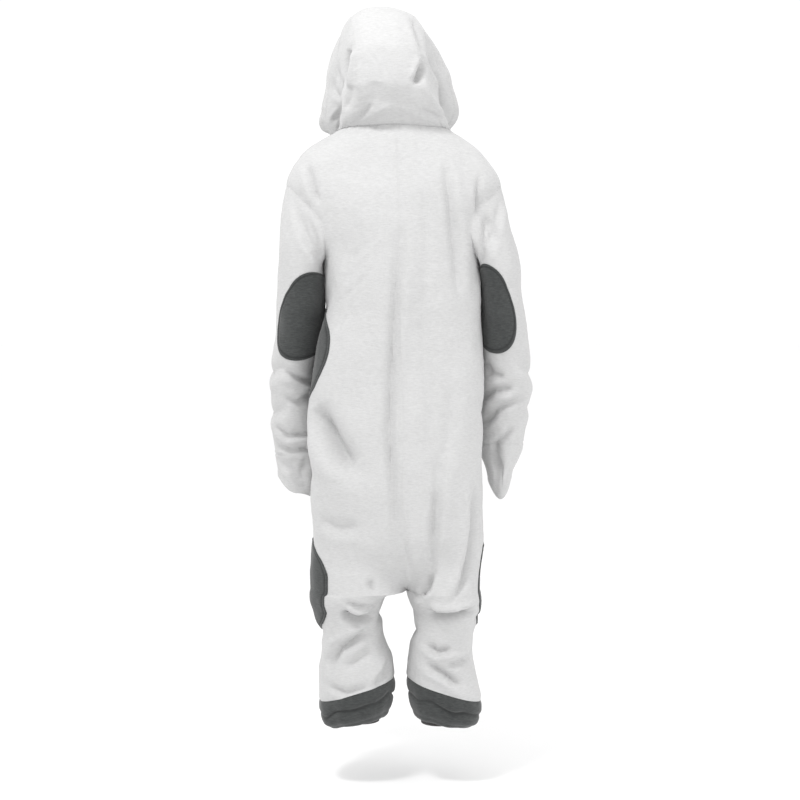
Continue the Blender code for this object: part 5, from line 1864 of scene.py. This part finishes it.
class PlacketStrip:
    """The strip down the centre front, with edge stitching, buttonholes and six buttons."""

    half_width = 0.018
    wall = 0.0022
    top = -0.058
    foot = -0.760
    columns = 20
    edge_stitch = 0.0030
    button_heights = tuple(np.linspace(-0.085, -0.725, 6))

    def __init__(self, cloth: Cloth) -> None:
        """Keep the front cloth that it is laid on.

        Args:
            cloth: Both front panels as one grid.
        """
        self.cloth = cloth
        self.centre = cloth.grid.shape[1] // 2
        self.levels = -cloth.grid[:, self.centre, 2]

    def find(self, across: Array, height: Array, rise: Array | float) -> tuple[Array, Array]:
        """Points above the cloth, by the distance from the centre seam and the height.

        Args:
            across: Metres to the wearer's left of the centre seam.
            height: Heights on the centre seam.
            rise: How far above the cloth.

        Returns:
            The points and the cloth's normals.
        """
        row = np.interp(-height, self.levels, np.arange(len(self.levels)))
        lines = self.cloth.grid[..., 0]
        columns = np.arange(lines.shape[1])
        found = np.zeros(across.shape)
        for place in np.ndindex(across.shape):
            r = min(int(row[place]), len(self.levels) - 2)
            share = row[place] - r
            line = lines[r] * (1 - share) + lines[r + 1] * share
            middle = line[self.centre]
            found[place] = np.interp(-(middle + across[place]), -line, columns)
        points, normals = self.cloth.at(row, found)
        return points + normals * np.asarray(rise)[..., None], normals

    def strip(self) -> Cloth:
        """The strip's outer points, its edges a little lower than its middle."""
        height = even_steps(self.top, self.foot, STEP)
        share = np.sin(np.linspace(-np.pi / 2, np.pi / 2, self.columns + 1))
        share, level = np.meshgrid(share, height)
        inset = self.half_width * (1 - np.abs(share))
        lift = LAID_GAP + self.wall - 0.0008 * np.exp(-(inset / 0.0010) ** 2)
        lift -= 0.0005 * np.exp(-((inset - self.edge_stitch) / 0.0012) ** 2)
        grid, normals = self.find(share * self.half_width, level, lift)
        # Painted shade along the groove of the edge stitching.
        near = np.exp(-((inset - self.edge_stitch) / 0.0012) ** 2)
        return Cloth(grid, true_normals(grid, normals), near)

    def stitches(self) -> list[StitchLine]:
        """Both edges, both ends and the buttonholes."""
        rise = LAID_GAP + self.wall - 0.0003
        height = even_steps(self.top - 0.004, self.foot + 0.004, 0.004)
        lines = []
        for across in (-1, 1):
            level = np.full_like(height, across * (self.half_width - self.edge_stitch))
            lines.append(StitchLine(*self.find(level, height, rise), False))
        for level in (self.top - 0.004, self.foot + 0.004):
            across = np.linspace(-1, 1, 9) * (self.half_width - self.edge_stitch)
            lines.append(StitchLine(*self.find(across, np.full_like(across, level), rise), False))
        turn = np.linspace(0, 2 * np.pi, 32, endpoint=False)
        for level in self.button_heights:
            across = 0.0016 * np.sign(np.cos(turn)) * np.abs(np.cos(turn)) ** 0.6
            lines.append(StitchLine(*self.find(across, level + 0.0135 * np.sin(turn), rise + 0.0002), True))
        return lines

    def button_seats(self) -> list[Matrix]:
        """Where each button lies: its middle, its face along the cloth's normal."""
        seats = []
        rise = LAID_GAP + self.wall + 0.0004 + ButtonMould.thickness / 2
        for level in self.button_heights:
            points, normals = self.find(np.zeros(1), np.full(1, level), rise)
            turn = Vector(normals[0]).to_track_quat("Z", "Y").to_matrix().to_4x4()
            seats.append(Matrix.Translation(points[0]) @ turn)
        return seats


class ButtonMould:
    """A round four-hole button: a thick rim round a dished middle."""

    radius = 0.0095
    thickness = 0.0032
    segments = 40
    hole_radius = 0.00095
    hole_reach = 0.00185
    profile = ((0.0, -0.5), (0.80, -0.5), (0.95, -0.38), (1.0, -0.12), (1.0, 0.16), (0.965, 0.36),
               (0.90, 0.475), (0.82, 0.5), (0.74, 0.42), (0.68, 0.22), (0.62, 0.12), (0.0, 0.10))

    def mesh(self, name: str) -> bpy.types.Mesh:
        """Turn the profile and bore the four holes."""
        shell = bmesh.new()
        rings = []
        for reach, level in self.profile:
            if reach == 0.0:
                rings.append([shell.verts.new((0, 0, level * self.thickness))])
                continue
            rings.append([shell.verts.new((reach * self.radius * math.cos(a), reach * self.radius
                                           * math.sin(a), level * self.thickness))
                          for a in np.arange(self.segments) * 2 * math.pi / self.segments])
        for low, high in zip(rings[:-1], rings[1:]):
            for k in range(self.segments):
                n = (k + 1) % self.segments
                if len(low) == 1:
                    shell.faces.new((low[0], high[n], high[k]))
                elif len(high) == 1:
                    shell.faces.new((low[k], low[n], high[0]))
                else:
                    shell.faces.new((low[k], low[n], high[n], high[k]))
        plain = bpy.data.meshes.new(name + "_plain")
        shell.to_mesh(plain)
        shell.free()
        drill = bmesh.new()
        for x, y in self.holes():
            bmesh.ops.create_cone(drill, cap_ends=True, segments=12, radius1=self.hole_radius,
                                  radius2=self.hole_radius, depth=self.thickness * 3,
                                  matrix=Matrix.Translation((x, y, 0.0)))
        cutter = bpy.data.meshes.new(name + "_drill")
        drill.to_mesh(cutter)
        drill.free()
        blank = bpy.data.objects.new(name + "_blank", plain)
        tool = bpy.data.objects.new(name + "_tool", cutter)
        for made in (blank, tool):
            bpy.context.scene.collection.objects.link(made)
        bore = blank.modifiers.new("holes", "BOOLEAN")
        bore.operation, bore.solver, bore.object = "DIFFERENCE", "EXACT", tool
        graph = bpy.context.evaluated_depsgraph_get()
        mesh = bpy.data.meshes.new_from_object(blank.evaluated_get(graph), depsgraph=graph)
        mesh.name = name
        for made in (blank, tool):
            bpy.data.objects.remove(made, do_unlink=True)
        return mesh

    def holes(self) -> list[tuple[float, float]]:
        """The middles of the four holes."""
        return [(x * self.hole_reach, y * self.hole_reach) for x in (-1, 1) for y in (-1, 1)]

    def thread_lines(self, seat: Matrix) -> list[StitchLine]:
        """Two threads that cross the dished middle from hole to hole."""
        lines = []
        way = np.array(seat.to_3x3() @ Vector((0.0, 0.0, 1.0)))
        for sign in (-1, 1):
            share = np.linspace(-1, 1, 7)
            level = self.thickness * 0.14 + 0.0003 - 0.0007 * share ** 6
            points = [seat @ Vector((s * self.hole_reach, sign * s * self.hole_reach, z))
                      for s, z in zip(share, level)]
            lines.append(StitchLine(np.array(points), np.tile(way, (7, 1)), False))
        return lines


# Sub-assemblies


class Held(Enum):
    """How a sheet of cloth is held."""

    HUNG = "hung"
    LAID = "laid"
    GATHERED = "gathered"
    STRETCHED = "stretched"


@dataclass
class Tailor:
    """Dresses cloth shells: makes the piece and puts it on the body."""

    wardrobe: Wardrobe

    def dress(self, node: str, cloth: Cloth, cut: Cut, held: Held, rests_on: Sequence[str],
              sewn: Sequence[bpy.types.Object] = (), finish: Finish = WHITE_FLEECE,
              slot: str = "fleece_white", wall: float = FLEECE_WALL, wrapped: bool = False
              ) -> bpy.types.Object:
        """Make one cloth piece and put it on the body.

        Args:
            node: The solid that it stands for.
            cloth: Its outer points.
            cut: The flat cloth that it was cut from; not used.
            held: How it is held; not used.
            rests_on: The pieces that it hangs from or lies on; not used.
            sewn: Its stitches; not used.
            finish: What it is made of.
            slot: The material slot of that finish.
            wall: The cloth's thickness.
            wrapped: True for a tube.

        Returns:
            The piece.
        """
        piece = cloth_piece(node + "_cloth", cloth, wall, finish, wrapped)
        self.declare(piece, node, slot)
        return piece

    def declare(self, piece: bpy.types.Object, node: str, slot: str) -> None:
        """Put a cloth piece on the body, as dress does."""
        self.wardrobe.wear(piece, slot, node)

    def sew(self, name: str, lines: Sequence[StitchLine], tree: StitchTree, slot: str
            ) -> bpy.types.Object:
        """Sew some lines and put the stitches on the body."""
        return self.wardrobe.wear(tree.sew(name, lines), slot)


@dataclass
class BodyPanels:
    """Back and front panels, each trunk and leg in one."""

    form: BodyForm
    seams: tuple[Seam, ...] = (
        Seam(Edge.TOP, dip=-0.0012, reach=0.0030, pucker=0.0012, beat=0.014, roll=0.0012),
        Seam(Edge.FOOT, dip=0.0016, reach=0.0040, pucker=0.0006, beat=0.024),
        Seam(Edge.START, dip=-0.0006, reach=0.0026, pucker=0.00045, beat=0.019),
        Seam(Edge.END, dip=-0.0014, reach=0.0028, pucker=0.0006, beat=0.018),
    )
    cuts: dict[str, Cut] = field(default_factory=lambda: {
        "back_left": Cut(0.34, 1.24, 0.309), "back_right": Cut(0.33, 1.24, 0.288),
        "front_left": Cut(0.37, 1.22, 0.342), "front_right": Cut(0.36, 1.22, 0.323),
    })

    def build(self, tailor: Tailor) -> None:
        """Make the four panels."""
        for side in Side:
            for facing in Facing:
                node = facing.name.lower() + "_" + side.label
                cloth = self.form.panel(side, facing, self.seams)
                hood = ("hood_centre_cloth", f"hood_{side.label}_cloth")
                tailor.dress(node, cloth, self.cuts[node], Held.HUNG, hood)


@dataclass
class SleeveSet:
    """One sleeve with its hand cover and its elbow spot."""

    side: Side
    unevenness: Unevenness
    sleeve_cut: Cut
    cover_cut: Cut
    spot_cut: Cut
    hem: float = 0.0180
    sleeve_seams: tuple[Seam, ...] = (
        Seam(Edge.TOP, dip=0.0, reach=0.0040, pucker=0.0012, beat=0.022),
        Seam(Edge.FOOT, dip=0.0003, reach=0.0028, pucker=0.0009, beat=0.018, roll=0.0008),
    )

    def build(self, tailor: Tailor, body: BodyForm) -> None:
        """Make the sleeve, the hand cover and the spot."""
        label = self.side.label
        form = SleeveForm(self.side, body.armhole_line(self.side), self.unevenness)
        sleeve = form.cloth(self.sleeve_seams)
        tailor.dress("sleeve_" + label, sleeve, self.sleeve_cut, Held.HUNG,
                     [f"back_{label}_cloth", f"front_{label}_cloth"], wrapped=True)
        cover_seams = (Seam(Edge.TOP, dip=0.0, reach=0.0030, pucker=0.0009, beat=0.018, roll=0.0010),
                       Seam(Edge.FOOT, dip=0.0005, reach=0.0016, pucker=0.0005, beat=0.030,
                            groove=self.hem))
        cover = HandCoverForm(self.side, sleeve, self.unevenness).cloth(cover_seams)
        stitches = tailor.sew(f"hand_cover_{label}_stitches",
                              [inset_line(cover, Edge.FOOT, self.hem, True)], WHITE_STITCHES,
                              "fleece_white")
        tailor.dress("hand_cover_" + label, cover, self.cover_cut, Held.HUNG,
                     [f"sleeve_{label}_cloth"], [stitches], wrapped=True)
        patch = SpotPatch(ELBOW_SPOTS[self.side], SleeveFinder(sleeve, form.drops))
        dress_spot(tailor, f"elbow_spot_{label}", patch)


def dress_spot(tailor: Tailor, node: str, patch: SpotPatch) -> None:
    """Make one spot and its stitches.

    Args:
        node: The spot's solid.
        patch: Its form.
    """
    stitches = tailor.sew(node + "_stitches", [patch.stitches()], DARK_STITCHES, "fleece_charcoal")
    piece = finish_mesh(node + "_cloth", patch.mesh(node), CHARCOAL_FLEECE.material())
    thicken(piece, SPOT_WALL)
    tailor.declare(piece, node, "fleece_charcoal")


@dataclass
class BodySpots:
    """The waist spot and the knee spots."""

    cuts: dict[tuple[str, Side], Cut] = field(default_factory=lambda: {
        ("waist", Side.LEFT): Cut(0.170, 0.205, 0.0274),
        ("knee", Side.LEFT): Cut(0.190, 0.205, 0.0300),
        ("knee", Side.RIGHT): Cut(0.170, 0.205, 0.0275),
    })

    def build(self, tailor: Tailor, body: BodyForm) -> None:
        """Make the three spots."""
        for (place, side), oval in BODY_SPOTS.items():
            finder = SideFinder(body.side_cloth(side), body.drops)
            dress_spot(tailor, f"{place}_spot_{side.label}", SpotPatch(oval, finder))


@dataclass
class Hood:
    """The hood's centre strip and two sides, with a stitched hem round the face."""

    unevenness: Unevenness
    hem: float = 0.0190
    neck_seam: Seam = Seam(Edge.TOP, dip=0.0, reach=0.0028, pucker=0.0015, beat=0.013, roll=0.0012)
    strip_seam: tuple[float, float, float] = (-0.0004, 0.0028, 0.0005)
    cuts: dict[str, Cut] = field(default_factory=lambda: {
        "hood_centre": Cut(0.130, 0.520, 0.062), "hood_left": Cut(0.240, 0.420, 0.065),
        "hood_right": Cut(0.240, 0.420, 0.066),
    })

    def build(self, tailor: Tailor, body: BodyForm) -> None:
        """Make the three panels and their hem stitches."""
        form = HoodForm(body, self.unevenness)
        rim = Seam(Edge.FOOT, dip=0.0004, reach=0.0016, pucker=0.0005, beat=0.031, groove=self.hem,
                   groove_depth=0.0011)
        dip, reach, pucker = self.strip_seam
        start, end = (Seam(edge, dip=dip, reach=reach, pucker=pucker, beat=0.019)
                      for edge in (Edge.START, Edge.END))
        panels = {
            "hood_centre": (-form.strip_edge, form.strip_edge, (start, end)),
            "hood_left": (form.strip_edge, form.throat, (start,)),
            "hood_right": (-form.throat, -form.strip_edge, (end,)),
        }
        for node, (first, last, seams) in panels.items():
            cloth = form.cloth(first, last, (self.neck_seam, rim, *seams))
            stitches = tailor.sew(node + "_stitches", [inset_line(cloth, Edge.FOOT, self.hem, False)],
                                  WHITE_STITCHES, "fleece_white")
            neighbours = [name + "_cloth" for name in panels if name != node]
            tailor.dress(node, cloth, self.cuts[node], Held.HUNG, neighbours, [stitches])


@dataclass
class LegEnd:
    """One leg's charcoal cuff and its ankle band."""

    side: Side
    cuff_cut: Cut
    band_cut: Cut
    band_wall: float = 0.0018

    def build(self, tailor: Tailor, body: BodyForm) -> None:
        """Make the cuff and the band."""
        label = self.side.label
        cuff = CuffForm(self.side, body.leg_line(self.side)).cloth()
        tailor.dress("leg_cuff_" + label, cuff, self.cuff_cut, Held.GATHERED,
                     [f"back_{label}_cloth", f"front_{label}_cloth"], finish=CHARCOAL_FLEECE,
                     slot="fleece_charcoal", wrapped=True)
        band = BandForm(BANDS[self.side]).cloth()
        tailor.dress("ankle_band_" + label, band, self.band_cut, Held.STRETCHED,
                     [f"leg_cuff_{label}_cloth"], finish=WOVEN_ELASTIC, slot="elastic_dark",
                     wall=self.band_wall, wrapped=True)


@dataclass
class Placket:
    """The placket strip with its buttons."""

    cut: Cut = Cut(0.036, 0.750, 0.0268)
    button_thread: StitchTree = StitchTree("button_thread", WHITE_THREAD, 0.0009, 0.0015, 0.0006)

    def build(self, tailor: Tailor, body: BodyForm) -> None:
        """Make the strip, its stitches and six buttons with their threads."""
        strip = PlacketStrip(body.front_cloth())
        stitches = tailor.sew("placket_stitches", strip.stitches(), WHITE_STITCHES, "fleece_white")
        tailor.dress("placket", strip.strip(), self.cut, Held.LAID,
                     ["front_left_cloth", "front_right_cloth"], [stitches], wall=strip.wall)
        mould = ButtonMould()
        shape = mould.mesh("button")
        for number, seat in enumerate(strip.button_seats(), start=1):
            mesh = shape.copy()
            mesh.transform(seat)
            button = finish_mesh(f"button_{number}_moulded", mesh, BUTTON_PLASTIC.material())
            sharpen(button)
            tailor.wardrobe.wear(button, "button_plastic", f"button_{number}")
            threads = self.button_thread.sew(f"button_{number}_thread", mould.thread_lines(seat), 0.0)
            tailor.wardrobe.wear(threads, "fleece_white")


def sharpen(piece: bpy.types.Object, degrees: float = 35.0) -> None:
    """Keep a hard piece's edges crisp where they turn by more than some degrees."""
    piece.data.set_sharp_from_angle(angle=math.radians(degrees))


# Studio


@dataclass(frozen=True)
class Lamp:
    """A large soft area light."""

    name: str
    place: tuple[float, float, float]
    aim: tuple[float, float, float]
    size: float
    watts: float


@dataclass
class Studio:
    """The photo's white room: a pale floor, an even sky and soft lamps."""

    view: PhotoView = PHOTO
    floor_height: float = -1.408
    sky: float = 1.06
    lamps: tuple[Lamp, ...] = (
        Lamp("key", (0.9, 1.4, 2.0), (0.0, 0.0, -0.35), 0.6, 42.0),
        Lamp("fill", (-2.6, 2.0, 0.4), (0.0, 0.0, -0.6), 1.6, 18.0),
    )

    def build(self) -> None:
        """Set up the camera, the sky, the floor and the lamps."""
        camera = bpy.data.cameras.new("camera")
        camera.lens, camera.sensor_width = self.view.lens, self.view.sensor
        self._add(bpy.data.objects.new("camera", camera), self.view.place, self.view.aim)
        bpy.context.scene.camera = bpy.data.objects["camera"]
        world = bpy.data.worlds.new("sky")
        world.use_nodes = True
        world.node_tree.nodes["Background"].inputs["Color"].default_value = (1.0, 1.0, 1.0, 1.0)
        world.node_tree.nodes["Background"].inputs["Strength"].default_value = self.sky
        bpy.context.scene.world = world
        bpy.context.scene.view_settings.view_transform = "Standard"
        for lamp in self.lamps:
            light = bpy.data.lights.new(lamp.name, "AREA")
            light.shape, light.size, light.energy = "SQUARE", lamp.size, lamp.watts
            self._add(bpy.data.objects.new(lamp.name, light), lamp.place, lamp.aim)
        mesh = bpy.data.meshes.new("floor")
        reach = 40.0
        mesh.from_pydata([(-reach, -reach, 0), (reach, -reach, 0), (reach, reach, 0),
                          (-reach, reach, 0)], [], [(0, 1, 2, 3)])
        floor = bpy.data.objects.new("floor", mesh)
        floor.location.z = self.floor_height
        sheet = ShaderSheet("floor")
        sheet.feed("Base Color", grey(0.95))
        sheet.feed("Roughness", 0.9)
        mesh.materials.append(sheet.material)
        bpy.context.scene.collection.objects.link(floor)

    @staticmethod
    def _add(made: bpy.types.Object, place: Sequence[float], aim: Sequence[float]) -> bpy.types.Object:
        """Put an object in the scene, looking at a point."""
        made.location = place
        made.rotation_euler = (Vector(aim) - Vector(place)).to_track_quat("-Z", "Y").to_euler()
        bpy.context.scene.collection.objects.link(made)
        return made


def main() -> None:
    """Build the studio, then the garment piece by piece."""
    logging.basicConfig(level=logging.INFO, format="%(message)s")
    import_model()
    Studio().build()
    worn = Unevenness()
    tailor = Tailor(Wardrobe())
    body = BodyForm(worn)
    BodyPanels(body).build(tailor)
    SleeveSet(Side.LEFT, worn, sleeve_cut=Cut(0.44, 0.60, 0.199), cover_cut=Cut(0.33, 0.11, 0.025),
              spot_cut=Cut(0.170, 0.250, 0.0334)).build(tailor, body)
    SleeveSet(Side.RIGHT, worn, sleeve_cut=Cut(0.42, 0.58, 0.186), cover_cut=Cut(0.31, 0.12, 0.026),
              spot_cut=Cut(0.145, 0.256, 0.0286)).build(tailor, body)
    BodySpots().build(tailor, body)
    Hood(worn).build(tailor, body)
    LegEnd(Side.LEFT, Cut(0.54, 0.115, 0.055), Cut(0.277, 0.031, 0.0085)).build(tailor, body)
    LegEnd(Side.RIGHT, Cut(0.54, 0.115, 0.055), Cut(0.274, 0.033, 0.0090)).build(tailor, body)
    Placket().build(tailor, body)
    log.info("%d pieces", len(tailor.wardrobe.made))


if __name__ == "__main__":
    main()
